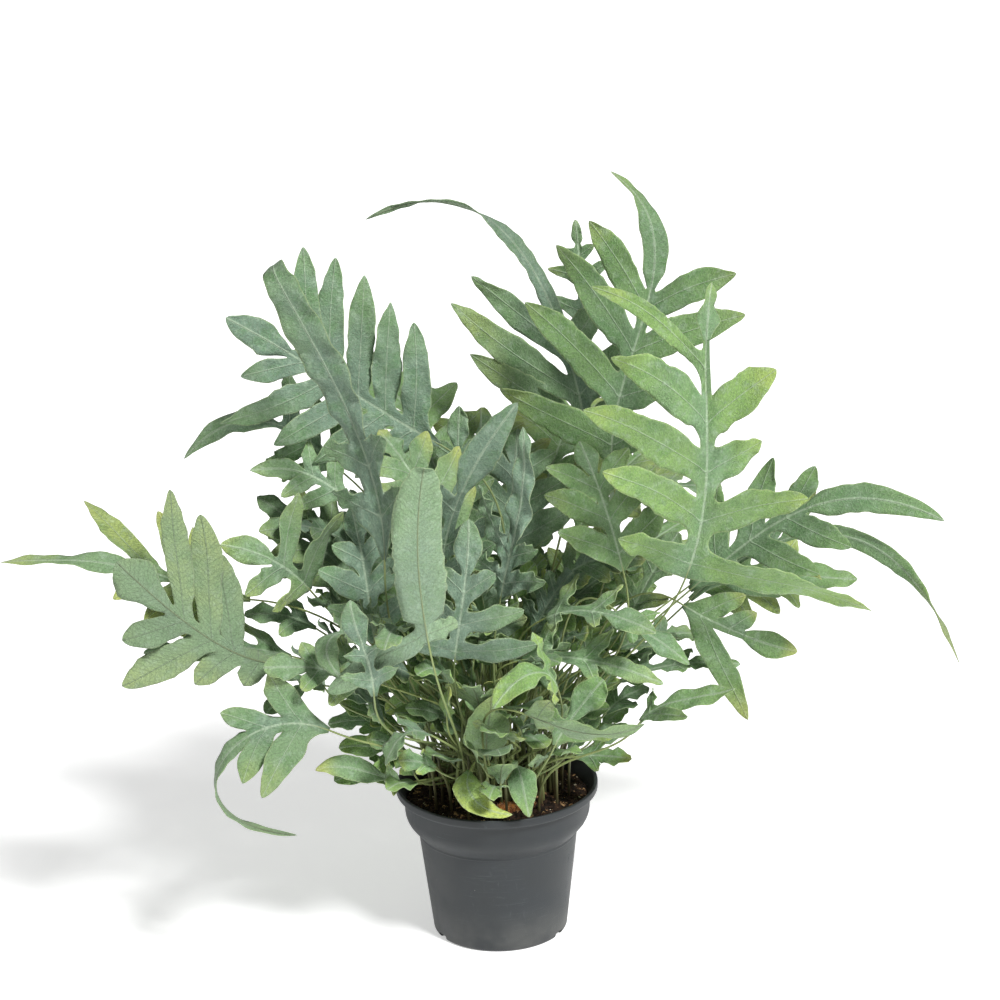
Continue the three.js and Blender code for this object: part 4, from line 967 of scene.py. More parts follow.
# %% [markdown]
# ## From lobes to one blade
#
# Neighbouring lobes meet in a narrow wing along the rib, and the cut between them ends in a rounded
# notch. Each lobe is one grid. Its first rows spread over the wing, and its outer columns start at the
# bottom of the cut on either side. From there they swing round a quarter of an ellipse onto the lobe's
# margin, which makes the notch round. Grids share their edge points exactly, so that merging points by
# place welds the whole blade.

# %% From lobes to one blade
NECK_WING = 2.6  # half the blade's width where the stipe ends
COLUMNS = np.array([-1, -0.82, -0.58, -0.3, -0.1, 0, 0.1, 0.3, 0.58, 0.82, 1])
WING_ROWS = np.array([0, 0.15, 0.4, 0.7, 1])
ROW_STEP = 3.6  # distance between rows along a lobe
FINE = {"columns": COLUMNS, "step": ROW_STEP}
COARSE = {"columns": np.array([-1, -0.5, 0, 0.5, 1]), "step": 12}


def spread(first, last, length, step):
    """Row places from first to last, a little closer together at both ends."""
    count = max(4, round(length / step))
    even = np.linspace(0, 1, count + 1)[1:]
    return mix(first, last, mix(even, 0.5 - 0.5 * np.cos(np.pi * even), 0.6))


def wing_points(frond, index, side, share, u):
    """The wing beside a lobe. u runs from the cut below the lobe to the cut above it, share outwards."""
    t = frond["lobes"][index][0]
    low, high = cut_at(frond["lobes"], index), cut_at(frond["lobes"], index + 1)
    along_rib = np.where(u < 0, mix(t, low, -u), mix(t, high, u))
    at, along, up, right = rib_at(frond, along_rib)
    fold = frond["fold"] * DEGREE
    to_neck = np.maximum(0, -u) if index == 0 else 0 * u
    full = wing_at(frond, along_rib)
    wing = (mix(full, NECK_WING, to_neck) * share)[..., None]
    forward = (0.2 * full * (1 - to_neck) * share)[..., None]
    return at + (right * side * math.cos(fold) + up * math.sin(fold)) * wing + along * forward


def lobe_grid(frond, index, side, detail):
    """One lobe with its wing: the points, and veins and place for each of them."""
    length, angle = lobe_side(frond, index, side)
    u = detail["columns"][None, :]
    share = WING_ROWS[:, None]
    if not length:
        points = wing_points(frond, index, side, share + 0 * u, u + 0 * share)
        across = np.abs(u) * 0.12 * frond["length"] + 0 * share
        run = share * frond["wing"] + 0 * u
        veins = np.stack([across, run, run], -1)
        mark = np.stack([np.abs(u) * share, 0 * across, 0 * across], -1)
        return points, veins, mark
    sine = math.sin(angle)
    wing_end = min(0.4, float(wing_at(frond, frond["lobes"][index][0])) / (length * sine))
    edge = np.array([[-1.0, 1.0]])
    notch = lobe_points(frond, index, side, np.array([[wing_end]]), -side * edge)[0]
    cuts = wing_points(frond, index, side, np.ones((1, 2)), edge)
    gap = np.linalg.norm(notch - cuts, axis=-1).mean()
    notch_end = wing_end + min(14, max(5, 1.5 * gap)) / length
    outer = spread(wing_end, 1, length * (1 - wing_end), detail["step"])
    q = np.concatenate([WING_ROWS * wing_end, outer])[:, None]
    u, q = u + 0 * q, q + 0 * u
    v = -side * u
    lobe, width = lobe_points(frond, index, side, q, v)
    wing = wing_points(frond, index, side, np.minimum(1, q / wing_end), u)
    side_weight = np.abs(u) ** 3
    swing = np.clip((q - wing_end) / (notch_end - wing_end), 0, 1)
    on_margin = np.sqrt(1 - (1 - swing) ** 2)
    inside = (1 - side_weight) * smooth(q / wing_end)
    weight = np.where(q <= wing_end, inside, mix(1, on_margin, side_weight))[..., None]
    points = mix(wing, lobe, weight)
    veins = np.stack([np.abs(v) * width, q * length, q * length * sine], -1)
    mark = np.stack([np.abs(u) * smooth(q / wing_end), q, 0 * q], -1)
    return points, veins, mark


def end_grid(frond, detail):
    """The end lobe. Its first row is the wing's edge at the last cut, which the side lobes share."""
    start = tip_start(frond)
    v = np.concatenate([-WING_ROWS[:0:-1], WING_ROWS])[None, :]
    if start:
        last = len(frond["lobes"]) - 1
        top = np.ones_like(v)
        left = wing_points(frond, last, -1, np.abs(v), top)
        right = wing_points(frond, last, 1, np.abs(v), top)
        first = np.where((v < 0)[..., None], left, right)
    else:
        at, _, _, right = rib_at(frond, 0)
        first = at + right * (v * NECK_WING)[..., None]
    length = (frond["far"] - start) * frond["length"]
    q = np.concatenate([[0], spread(0, 1, length, detail["step"])])[:, None]
    v, q = v + 0 * q, q + 0 * v
    points, width = tip_points(frond, q, v)
    offset = first - tip_points(frond, 0 * q[:1], v[:1])[0]
    points = points + offset * (1 - smooth(q / 0.3))[..., None]
    away = np.abs(v) * width
    veins = np.stack([away, q * length, away], -1)
    mark = np.stack([np.abs(v), q, 0 * q], -1)
    return points, veins, mark


# %% [markdown]
# ## Tone: no two lobes alike
#
# Each frond has a hue between blue (0) and yellow-green (1), a brightness and an age, which turns tips
# yellow and then brown. Where the row of a frond doesn't say, they are drawn from its seed. Each lobe
# then strays a little from its frond. The brightness given for front_broad is painted light: it lifts
# the shade that front_arch casts on it.

# %% Tone
TONES = {
    # frond: hue, brightness, age. front_broad's brightness is painted light that lifts front_arch's shadow
    "right_front": (0.42, 1.06, 0.1), "right_top": (0.42, 0.98, 0.1), "top_young": (0.6, 0.98, 0),
    "top_tail": (0.45, 0.9, 0), "left_edge": (0.16, 0.9, 0), "left_fan": (0.14, 1.06, 0),
    "left_low": (0.74, 0.83, 0), "left_far": (0.95, 0.96, 0.3), "left_curl": (0.62, 0.9, 0),
    "centre_pale": (0.34, 1.18, 0), "centre_blue": (0.1, 0.92, 0), "centre_wavy": (0.2, 1.0, 0),
    "centre_round": (0.1, 1.0, 0), "right_long": (0.2, 0.92, 0), "right_low": (0.6, 0.84, 0.6),
    "front_yellow": (1.0, 1.0, 0.3), "front_point": (0.5, 0.98, 0.1), "front_broad": (0.72, 1.25, 0.2),
    "right_tail": (0.4, 0.85, 0.3),
}


def tone_of(frond):
    seed = frond["seed"]
    age = 0.4 if chance(seed + 53) > 0.85 else 0
    drawn = (0.14 + 0.7 * chance(seed + 51), 0.88 + 0.28 * chance(seed + 52), age)
    return np.array(TONES.get(frond["name"], drawn), float)


def lobe_tone(frond, key):
    stray = [chance(frond["seed"] + 61 + key + k) - 0.5 for k in range(3)]
    return tone_of(frond) * (1 + np.array([0.3, 0.14, 0.8]) * stray) + np.array([0.26 * stray[0], 0, 0])


# %% [markdown]
# ## Thickness and stipe
#
# The middle surface gets a face on either side and a narrow strip along its margin, so that the blade is
# a closed solid half a millimetre thick. The stipe is a tube along the same curve as in the CAD. It goes
# on as the rib of the blade, where it stands out a little on both sides and thins away to the tip.

# %% Thickness and stipe
BLADE = 0.5  # thickness
SOIL = {"edge": 133, "crown": 139, "edge_radius": 84.9}
STIPE = {"foot": 1.35, "neck": 0.9, "rib_end": 0.22, "sunk": 13, "straight": 4, "sides": 8, "steps": 22}
RIB_SUNK = 0.35  # how far the rib's middle lies below the blade's
BLADE_KIND, STIPE_KIND = 0, 1  # kinds of face, and the places of their materials on a piece


def soil_height(radius):
    share = np.minimum(np.asarray(radius, float) / SOIL["edge_radius"], 1)
    return mix(SOIL["crown"], SOIL["edge"], share**2)


class Mesh:
    """Collects points, faces and attributes of one frond, in millimetres."""

    def __init__(self):
        self.points, self.veins, self.mark, self.tone = [], [], [], []
        self.faces, self.kinds = [], []
        self.count = 0

    def add(self, points, faces, kind, veins, mark, tone):
        self.faces += [tuple(i + self.count for i in face) for face in faces]
        self.kinds += [kind] * len(faces)
        stores = (self.points, self.veins, self.mark, self.tone)
        for store, values in zip(stores, (points, veins, mark, tone)):
            store.append(np.broadcast_to(values, (len(points), 3)))
        self.count += len(points)


def weld(grids):
    """Merges the grids' shared points and returns points, attributes and faces of one surface."""
    keys, rows, faces = {}, [], []
    for points, veins, mark, tone, flip in grids:
        tone = np.broadcast_to(tone, points.shape)
        flat = np.concatenate([points, veins, mark, tone], -1).reshape(-1, 12)
        places = np.round(flat[:, :3] * 200).astype(int)
        number = np.empty(len(flat), int)
        for i, (key, values) in enumerate(zip(map(tuple, places), flat)):
            if key not in keys:
                keys[key] = len(rows)
                rows.append(values)
            number[i] = keys[key]
        number = number.reshape(points.shape[:2])
        corners = [number[:-1, :-1], number[1:, :-1], number[1:, 1:], number[:-1, 1:]]
        for face in np.stack(corners, -1).reshape(-1, 4).tolist():
            ring = [corner for k, corner in enumerate(face) if corner != face[k - 1]]
            if len(ring) > 2:
                faces.append(ring[::-1] if flip else ring)
    return np.array(rows), faces


def surface_normals(points, faces):
    sums = np.zeros_like(points)
    for size in (3, 4):
        ring = np.array([face for face in faces if len(face) == size]).reshape(-1, size)
        corner = points[ring]
        normal = np.cross(corner[:, 1] - corner[:, 0], corner[:, -1] - corner[:, 0])
        for k in range(size):
            np.add.at(sums, ring[:, k], normal)
    return unit(sums + 1e-12)


def add_blade(mesh, frond, detail=FINE):
    grids = []
    for index, row in enumerate(frond["lobes"]):
        for side in (-1, 1):
            tone = lobe_tone(frond, 2 * index + side)
            grids.append((*lobe_grid(frond, index, side, detail), tone, side < 0))
    grids.append((*end_grid(frond, detail), lobe_tone(frond, 40), True))
    rows, faces = weld(grids)
    points, veins, mark, tone = rows[:, :3], rows[:, 3:6], rows[:, 6:9], rows[:, 9:]
    offset = surface_normals(points, faces) * BLADE / 2
    count = len(points)
    edges = {(a, b) for face in faces for a, b in zip(face, face[1:] + face[:1])}
    shell = [tuple(face) for face in faces]
    shell += [tuple(i + count for i in reversed(face)) for face in faces]
    shell += [(a, a + count, b + count, b) for a, b in edges if (b, a) not in edges]
    both = np.concatenate
    under = mark + np.array([0, 0, 1])
    mesh.add(both([points + offset, points - offset]), shell, BLADE_KIND, both([veins, veins]),
             both([mark, under]), both([tone, tone]))


def tube(rings):
    """Faces of a closed tube over rings of the same number of points."""
    steps, sides = rings.shape[:2]
    faces = []
    for k in range(steps - 1):
        for j in range(sides):
            a, b = k * sides + j, k * sides + (j + 1) % sides
            faces.append((a, b, b + sides, a + sides))
    faces.append(tuple(range(sides))[::-1])
    faces.append(tuple(range((steps - 1) * sides, steps * sides)))
    return faces


def stipe_line(frond, foot):
    """Points and directions up the stipe, from the bottom of its hole to just under the blade."""
    ground = float(soil_height(np.hypot(*foot)))
    high = np.array([*foot, ground + STIPE["straight"]])
    neck, along, _, _ = rib_at(frond, 0)
    reach = 0.4 * np.linalg.norm(neck - high)
    end = neck - 3 * along
    control = [high, high + np.array([0, 0, reach]), end - along * reach, end]
    s = np.linspace(0, 1, STIPE["steps"] + 1)[:, None]
    weights = [(1 - s) ** 3, 3 * s * (1 - s) ** 2, 3 * s**2 * (1 - s), s**3]
    line = sum(w * p for w, p in zip(weights, control))
    low = np.array([[*foot, ground - STIPE["sunk"]]])
    points = np.concatenate([low, line])
    return points, unit(np.gradient(points, axis=0))


def add_stipe(mesh, frond, foot):
    low, low_way = stipe_line(frond, foot)
    t = np.linspace(0.0, 0.985 * frond["far"], max(10, round(frond["length"] / 7)))
    rib, rib_way, rib_up, _ = hooked(frond, t)
    high = rib - rib_up * RIB_SUNK * np.minimum(1, t / 0.05)[:, None]
    ups = []
    up = rib_up[0]
    for way in low_way[::-1]:
        up = unit(up - way * (up @ way))
        ups.append(up)
    up = np.concatenate([np.array(ups[::-1]), rib_up])
    points = np.concatenate([low, high])
    way = np.concatenate([low_way, rib_way])
    right = np.cross(way, up)
    stem = np.linspace(STIPE["foot"], STIPE["neck"], len(low))
    radius = np.concatenate([stem, mix(0.95 * STIPE["neck"], STIPE["rib_end"], (t / frond["far"]) ** 0.6)])
    turn = np.linspace(0, 2 * np.pi, STIPE["sides"], endpoint=False)[None, :, None]
    rings = points[:, None] + radius[:, None, None] * (
        np.cos(turn) * right[:, None] + np.sin(turn) * up[:, None]
    )
    run = np.concatenate([[0], np.cumsum(np.linalg.norm(np.diff(points, axis=0), axis=1))])
    share = np.repeat(run / run[-1], STIPE["sides"])
    on_blade = np.repeat(np.concatenate([0 * stem, np.minimum(1, 12 * t)]), STIPE["sides"])
    below = np.tile(0.5 - 0.5 * np.sin(turn[0, :, 0]), len(points))
    mark = np.stack([below, share, on_blade], -1)
    mesh.add(rings.reshape(-1, 3), tube(rings), STIPE_KIND, np.zeros(3), mark, tone_of(frond))


# %% [markdown]
# ## Where each frond stands
#
# The CAD model set the fronds one after the other and bent each a little, until it was clear of those
# before it. How far it was bent, and which spot of soil its foot took, can be read back from the solid:
# the foot is the middle of its lowest corners, and the bend is the step that brings the formula's own
# lobe tips onto corners of the solid.

# %% Where each frond stands
BEND_STEP = 5
MOST_BEND = 14
TUFT_RING = 3.4


def corners_of(node):
    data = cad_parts[node].data
    flat = np.empty(3 * len(data.vertices), np.float32)
    data.vertices.foreach_get("co", flat)
    return flat.reshape(-1, 3).astype(float) / MM


def foot_of(corners):
    low = corners[corners[:, 2] < corners[:, 2].min() + 0.3]
    return (low[:, :2].min(0) + low[:, :2].max(0)) / 2


def marks_of(frond):
    """The tips of a frond's lobes and of its blade."""
    marks = [frond["rib"][3]]
    one, zero = np.array([1.0]), np.array([0.0])
    for index in range(len(frond["lobes"])):
        for side in (-1, 1):
            if lobe_side(frond, index, side)[0]:
                marks.append(lobe_points(frond, index, side, one, zero)[0][0])
    return np.array(marks)


def bend_of(frond, corners):
    """Steps of bend, and how far the tips then lie from the solid's corners."""
    marks = marks_of(frond)
    best = (1e9, 0)
    for steps in range(-MOST_BEND, MOST_BEND + 1):
        moved = marks + frond["face"] * steps * BEND_STEP
        nearest = np.linalg.norm(moved[:, None] - corners[None], axis=-1).min(1)
        best = min(best, (float(np.median(nearest)), steps))
    return best


def mesh_object(name, mesh, materials):
    data = bpy.data.meshes.new(name)
    points = np.concatenate(mesh.points) * MM
    data.from_pydata(points.tolist(), [], mesh.faces)
    data.polygons.foreach_set("material_index", mesh.kinds)
    data.polygons.foreach_set("use_smooth", [True] * len(mesh.faces))
    for label, values in (("veins", mesh.veins), ("place", mesh.mark), ("tone", mesh.tone)):
        store = data.attributes.new(label, "FLOAT_VECTOR", "POINT")
        store.data.foreach_set("vector", np.concatenate(values).astype(np.float32).ravel())
    for material in materials:
        data.materials.append(material)
    data.update()
    return new_object(name, data)


def leaf_slot(name):
    if "front" in name or "tuft" in name:
        return "leaf_lime"
    return "leaf_green" if "right" in name or "back" in name else "leaf_blue"


# %% Set the fronds on their spots
BLADES, STIPES = [], []  # search trees of what has grown, to keep later leaves clear of it


def search_tree(mesh, kind):
    """A tree for overlap tests over a mesh's blades or its stipes."""
    faces = [face for face, its_kind in zip(mesh.faces, mesh.kinds) if its_kind == kind]
    return BVHTree.FromPolygons(np.concatenate(mesh.points).tolist(), faces)


def remember(mesh):
    BLADES.append(search_tree(mesh, BLADE_KIND))
    STIPES.append(search_tree(mesh, STIPE_KIND))


def set_plant(name, fronds):
    corners = corners_of(f"frond_{name}")
    middle = foot_of(corners)
    mesh = Mesh()
    worst = 0
    for i, frond in enumerate(fronds):
        miss, steps = bend_of(frond, corners)
        worst = max(worst, miss)
        bent = {**frond, "rib": frond["rib"] + frond["face"] * steps * BEND_STEP}
        ring = TUFT_RING if len(fronds) > 1 else 0
        angle = 2 * math.pi * i / len(fronds)
        foot = middle + ring * np.array([math.cos(angle), math.sin(angle)])
        add_blade(mesh, bent)
        add_stipe(mesh, bent, foot)
    remember(mesh)
    slot = leaf_slot(name)
    piece = mesh_object(f"fern_{name}", mesh, [LEAVES[slot], STIPE_FINISH])
    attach(piece, "root")
    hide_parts(f"frond_{name}")
    return len(mesh.faces), worst


made = [set_plant(name, fronds) for name, fronds in PLANTS]
print("faces of all fronds:", sum(count for count, _ in made))
print("farthest tip from its solid, mm:", round(max(miss for _, miss in made), 2))

# %% [markdown]
# ## The small leaves in between
#
# Down in the crown of a living fern sit dozens of leaves that never got room: undivided or with a lobe or
# two, at all angles. The CAD carries the larger ones. The rest are grown here. Each is drawn from a seed,
# tested against everything that already stands, and drawn again until it is free, or given up after some
# tries. A search tree (BVH) answers the question "does this mesh touch that one?" in a fraction of a
# millisecond. A coarse leaf is tested first, because most draws fail and a fine one takes longer to make.

# %% The small leaves in between
GOLDEN_SHARE = 0.381967  # share of the arc from one leaf to the next, which spreads them evenly over it
GROWTH = [
    dict(name="crown", arc=(0, 360), count=22, reach=(30, 135), height=(255, 400), blade=(78, 122),
         pairs=(2, 3), share_of_lobe=0.5, width=(17, 22), foot=44, tries=40, slot="leaf_blue"),
    dict(name="left", arc=(150, 232), count=14, reach=(84, 165), height=(245, 350), blade=(66, 108),
         pairs=(1, 3), share_of_lobe=0.52, width=(19, 25), foot=44, tries=60, slot="leaf_blue"),
    dict(name="young", arc=(0, 360), count=84, reach=(10, 104), height=(166, 330), blade=(34, 72),
         pairs=(0, 2), share_of_lobe=0.48, width=(15, 25), foot=50, tries=40, slot="leaf_lime"),
    dict(name="hidden", arc=(20, 160), count=34, reach=(20, 110), height=(185, 330), blade=(50, 92),
         pairs=(1, 3), share_of_lobe=0.5, width=(17, 24), foot=56, tries=40, slot="leaf_green"),
]


# What all small leaves have in common: how far their heading strays from its place on the arc, how far
# they turn from it, and the limits of their other numbers.
SMALL = dict(
    stray=40, turn=90, rise=(82, 10), droop=(0.1, 0.5), tip=(18, 27), blunt=(0.4, 0.6), fold=(4, 30),
)
FOOT_STRAY = 120  # width in degrees of the arc in which a leaf's foot may stand
SEEDS = {"first": 6000, "leaf": 41, "attempt": 1009}


def small_row(growth, index, seed):
    heading = mix(*growth["arc"], GOLDEN_SHARE * index % 1) + SMALL["stray"] * (chance(seed) - 0.5)
    neck = neck_by_rule(growth, heading, seed)[1]
    length = pick(growth, "blade", seed + 3)
    facing = 0.5 - 0.5 * math.sin(heading * DEGREE)  # 1 for a leaf at the front, 0 for one at the back
    return dict(
        name=growth["name"], neck=neck, heading=heading + SMALL["turn"] * (chance(seed + 4) - 0.5),
        rise=pick(SMALL, "rise", seed + 5), length=length, droop=pick(SMALL, "droop", seed + 6),
        width=pick(growth, "width", seed + 7), tip=pick(SMALL, "tip", seed + 8), to_light=0.85 * facing,
        blunt=pick(SMALL, "blunt", seed + 9), wing=5.5, pairs=round(pick(growth, "pairs", seed + 10)),
        lobe=growth["share_of_lobe"] * length, fold=pick(SMALL, "fold", seed + 11), taper=0.8,
    )


def small_frond(growth, index, attempt):
    """One leaf and the place of its foot, as drawn at one attempt."""
    seed = SEEDS["first"] + SEEDS["leaf"] * index + SEEDS["attempt"] * attempt
    away = growth["foot"] * math.sqrt(chance(seed + 12))
    angle = mix(*growth["arc"], GOLDEN_SHARE * index % 1) + FOOT_STRAY * (chance(seed + 13) - 0.5)
    frond = completed(between_frond(small_row(growth, index, seed), seed), seed)
    return frond, np.array([math.cos(angle * DEGREE), math.sin(angle * DEGREE)]) * away


def small_mesh(frond, foot, detail):
    mesh = Mesh()
    add_blade(mesh, frond, detail)
    add_stipe(mesh, frond, foot)
    return mesh


def solid_tree(node):
    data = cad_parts[node].data
    return BVHTree.FromPolygons(corners_of(node).tolist(), [tuple(face.vertices) for face in data.polygons])


HOLDERS = [solid_tree(node) for node in ("pot", "soil", "rhizome_front", "rhizome_back")]


def is_free(mesh):
    """Whether its blade touches nothing, and its stipe neither a blade nor the pot."""
    points = np.concatenate(mesh.points) * MM
    if (points.min(0) < cad_box[0]).any() or (points.max(0) > cad_box[1]).any():
        return False
    blade, stipe = search_tree(mesh, BLADE_KIND), search_tree(mesh, STIPE_KIND)
    if any(blade.overlap(tree) for tree in HOLDERS + BLADES + STIPES):
        return False
    return not any(stipe.overlap(tree) for tree in HOLDERS[:1] + BLADES)


def join_mesh(whole, part):
    """Adds one mesh's points, faces and attributes to another."""
    whole.faces += [tuple(i + whole.count for i in face) for face in part.faces]
    whole.kinds += part.kinds
    for store in ("points", "veins", "mark", "tone"):
        getattr(whole, store).extend(getattr(part, store))
    whole.count += part.count


def grow_small_leaves(growth):
    whole, leaves = Mesh(), 0
    for index in range(growth["count"]):
        for attempt in range(growth["tries"]):
            frond, foot = small_frond(growth, index, attempt)
            if not is_free(small_mesh(frond, foot, COARSE)):
                continue
            mesh = small_mesh(frond, foot, FINE)
            if is_free(mesh):
                remember(mesh)
                join_mesh(whole, mesh)
                leaves += 1
                break
    piece = mesh_object(f"{growth['name']}_leaves", whole, [LEAVES[growth["slot"]], STIPE_FINISH])
    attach(piece, "root")
    print(piece.name, leaves, "leaves,", len(piece.data.polygons), "faces")


for growth in GROWTH:
    grow_small_leaves(growth)

# %% [markdown]
# ## The pot
#
# A nursery pot is blow-moulded from recycled plastic: a thin tapered wall, a wider collar that lets pots
# stack, a turned-out lip and three drainage notches at the foot. Its shape follows one profile turned
# about the axis. The profile has the CAD's corners, except that the collar turns in lower and is a little
# fuller. Each corner gets the radius that a mould leaves, so the script rounds a list of corners and
# turns it. The notches are cut by a Boolean with three boxes. The turned surface is written down ring by
# ring, because bmesh's own spin puts its corners in another order on each run, and the crumbs that are
# scattered on such a surface would never fall the same way twice.

# %% Rounded profiles
POT = {"height": 148, "rim": 95, "base": 63.4, "wall": 2, "floor": 3}
BODY_TOP = (75.1, 101.5)
COLLAR = {"low": (85.8, 121), "high": (88, 138)}
COLLAR_SWELL = (0.9, -6.5)  # how much farther out and lower the moulded collar turns in
NOTCH = {"count": 3, "width": 12, "height": 5, "depth": 12, "first": -30, "round": 1.2}
SPIN_STEPS = {"pot": 144, "soil": 128, "rhizome": 32}
POT_EDGE, EARTH_EDGE = 38, 60  # degrees from which an edge is shaded sharp


def rounded(corners, steps=5):
    """A line through corners of (radius, height, rounding), with an arc-like curve at each."""
    points = [np.array(c[:2], float) for c in corners]
    line = [points[0]]
    for before, at, after, size in zip(points, points[1:], points[2:], [c[2] for c in corners[1:-1]]):
        back, ahead = before - at, after - at
        room = 0.45 * min(np.linalg.norm(back), np.linalg.norm(ahead))
        cut = min(size, room)
        start, end = at + unit(back) * cut, at + unit(ahead) * cut
        for s in np.linspace(0, 1, steps) if cut else [0]:
            line.append((1 - s) ** 2 * start + 2 * s * (1 - s) * at + s * s * end)
    return line + [points[-1]]


def spun(name, line, steps):
    """A line of (radius, height) turned about the axis. It starts and ends on the axis."""
    turn = 2 * np.pi * np.arange(steps) / steps
    radii, heights = np.array(line[1:-1], float).T
    rings = np.stack([
        radii[:, None] * np.cos(turn), radii[:, None] * np.sin(turn), heights[:, None] + 0 * turn,
    ], -1).reshape(-1, 3)
    points = np.concatenate([[(0, 0, line[0][1])], rings, [(0, 0, line[-1][1])]]) * MM
    last = len(points) - 1
    faces = []
    for j in range(steps):
        k = (j + 1) % steps
        faces.append((0, 1 + k, 1 + j))
        for low in range(1, last - steps, steps):
            faces.append((low + j, low + k, low + steps + k, low + steps + j))
        faces.append((last - steps + j, last - steps + k, last))
    data = bpy.data.meshes.new(name)
    data.from_pydata(points.tolist(), [], faces)
    return new_object(name, data)


def plain_mesh(piece):
    """Turns a piece with modifiers into the mesh that they make."""
    depsgraph = bpy.context.evaluated_depsgraph_get()
    done = bpy.data.meshes.new_from_object(piece.evaluated_get(depsgraph))
    piece.modifiers.clear()
    piece.data = done
    return piece


def soften(piece, degrees):
    """Smooth shading, with edges sharper than this kept."""
    piece.data.shade_smooth()
    piece.data.set_sharp_from_angle(angle=math.radians(degrees))


# %% Pot
def pot_line():
    wall, floor, base = POT["wall"], POT["floor"], POT["base"]
    (body_r, body_z), (low_r, low_z), (high_r, high_z) = BODY_TOP, COLLAR["low"], COLLAR["high"]
    return rounded([
        (0, 0, 0),
        (base - 2, 0, 1.5),
        (base, 2, 2.5),
        (body_r - 0.35, body_z - 3.2, 0.4),  # the seam where the two halves of the mould part
        (body_r + 0.15, body_z - 2.4, 0.4),
        (body_r, body_z, 1.5),
        (low_r + COLLAR_SWELL[0], low_z + COLLAR_SWELL[1], 8),
        (high_r, high_z, 2.2),
        (POT["rim"], high_z + 1.2 * wall, 2.2),
        (POT["rim"], POT["height"], 1.5),
        (POT["rim"] - 1.5 * wall, POT["height"], 1.5),
        (high_r - wall, high_z - wall, 4),
        (low_r - wall, low_z, 6),
        (body_r - wall, body_z + 0.2 * wall, 5),
        (base - wall, floor, 2),
        (0, floor, 0),
    ])


def notch_cutter():
    shape = bmesh.new()
    for i in range(NOTCH["count"]):
        turn = Matrix.Rotation(math.radians(NOTCH["first"] + 360 / NOTCH["count"] * i), 4, "Z")
        size = Matrix.Diagonal((NOTCH["depth"] * MM, NOTCH["width"] * MM, 2 * NOTCH["height"] * MM, 1))
        at = turn @ Matrix.Translation((POT["base"] * MM, 0, 0)) @ size
        bmesh.ops.create_cube(shape, size=1, matrix=at)
    rounding = NOTCH["round"] * MM
    bmesh.ops.bevel(shape, geom=shape.edges, offset=rounding, segments=3, affect="EDGES", profile=0.5)
    data = bpy.data.meshes.new("notches")
    shape.to_mesh(data)
    shape.free()
    return new_object("notches", data)


def add_pot():
    pot = spun("pot_body", pot_line(), SPIN_STEPS["pot"])
    cutter = notch_cutter()
    cut = pot.modifiers.new("notches", "BOOLEAN")
    cut.object = cutter
    cut.solver = "EXACT"
    plain_mesh(pot)
    bpy.data.objects.remove(cutter)
    soften(pot, POT_EDGE)
    return pot


# %% [markdown]
# ## Pot finish
#
# The plastic is dark slate grey and matt, with a satin sheen on the rounded edges. Close up it has the
# fine grain of recycled polymer, light scratches that run round the pot from being stacked, and a paler
# grey in blotches towards its foot. The scratches are the *scuffs* group, stretched flat.

# %% Pot finish
def pot_material():
    material, tree, shader = new_material("grey plastic", Specular_IOR_Level=0.45)
    where = spot(tree)
    height = place(tree, "ShaderNodeSeparateXYZ", {0: where}, out=2)
    cloud = mask_of(tree, MOTTLE, where, 0.05, 0.3, 0.75)
    scuff = mask_of(tree, SCUFFS, where, 34.0, (1, 1, 26), 0.8)
    marks = calc(tree, "MAXIMUM", scuff, mask_of(tree, SCUFFS, where, 90.0, (3, 3, 1), 0.5))
    colour = stained(
        tree, tint(tree, cloud, paint("272b2d"), paint("303437")),
        ("6f7475", marks, 0.6),
        # paler grey in blotches over the lowest 50 mm of the pot
        ("73726c", calc(tree, "MULTIPLY", ramp(tree, height, 0.05, 0.0, 0.0, 0.4), cloud), 1),
        ("b9b7ad", mask_of(tree, SPECKS, where, 0.012, 0.2, 0.05), 0.7),
    )
    dull = calc(tree, "ADD", ramp(tree, cloud, 0, 1, 0.5, 0.64), marks)
    grain = noise(tree, where, 1400.0, 3.0, 0.6)
    relief = calc(tree, "SUBTRACT", grain, calc(tree, "MULTIPLY", marks, 1.5))
    wire(tree, shader, Base_Color=colour, Roughness=dull, Normal=bump(tree, relief, 0.00012, 0.6))
    return material


pot = add_pot()
pot.data.materials.clear()
pot.data.materials.append(pot_material())
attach(pot, "root")
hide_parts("pot")
print("pot:", len(pot.data.polygons), "faces")

# %% [markdown]
# ## The soil
#
# Potting soil is peat with bark chips and pale perlite. Its bed is a closed solid with the CAD's shape,
# whose top is a fine grid raised and lowered by fractal noise. The crumbs on it are made with Geometry
# Nodes: points are scattered on the bed's top, each gets a small rough lump, and the lumps are made real.
# One tree serves peat, bark and perlite, because only size, flatness, number and finish differ.

# %% Soil bed
SOIL_LUMPS = 1.7  # millimetres that the surface rises and sinks
SOIL_RING_STEP = 1.7
SOIL_GAP = 0.4  # between the bed and the pot
LUMP_SIZES = {"broad": 14, "fine": 3.5}


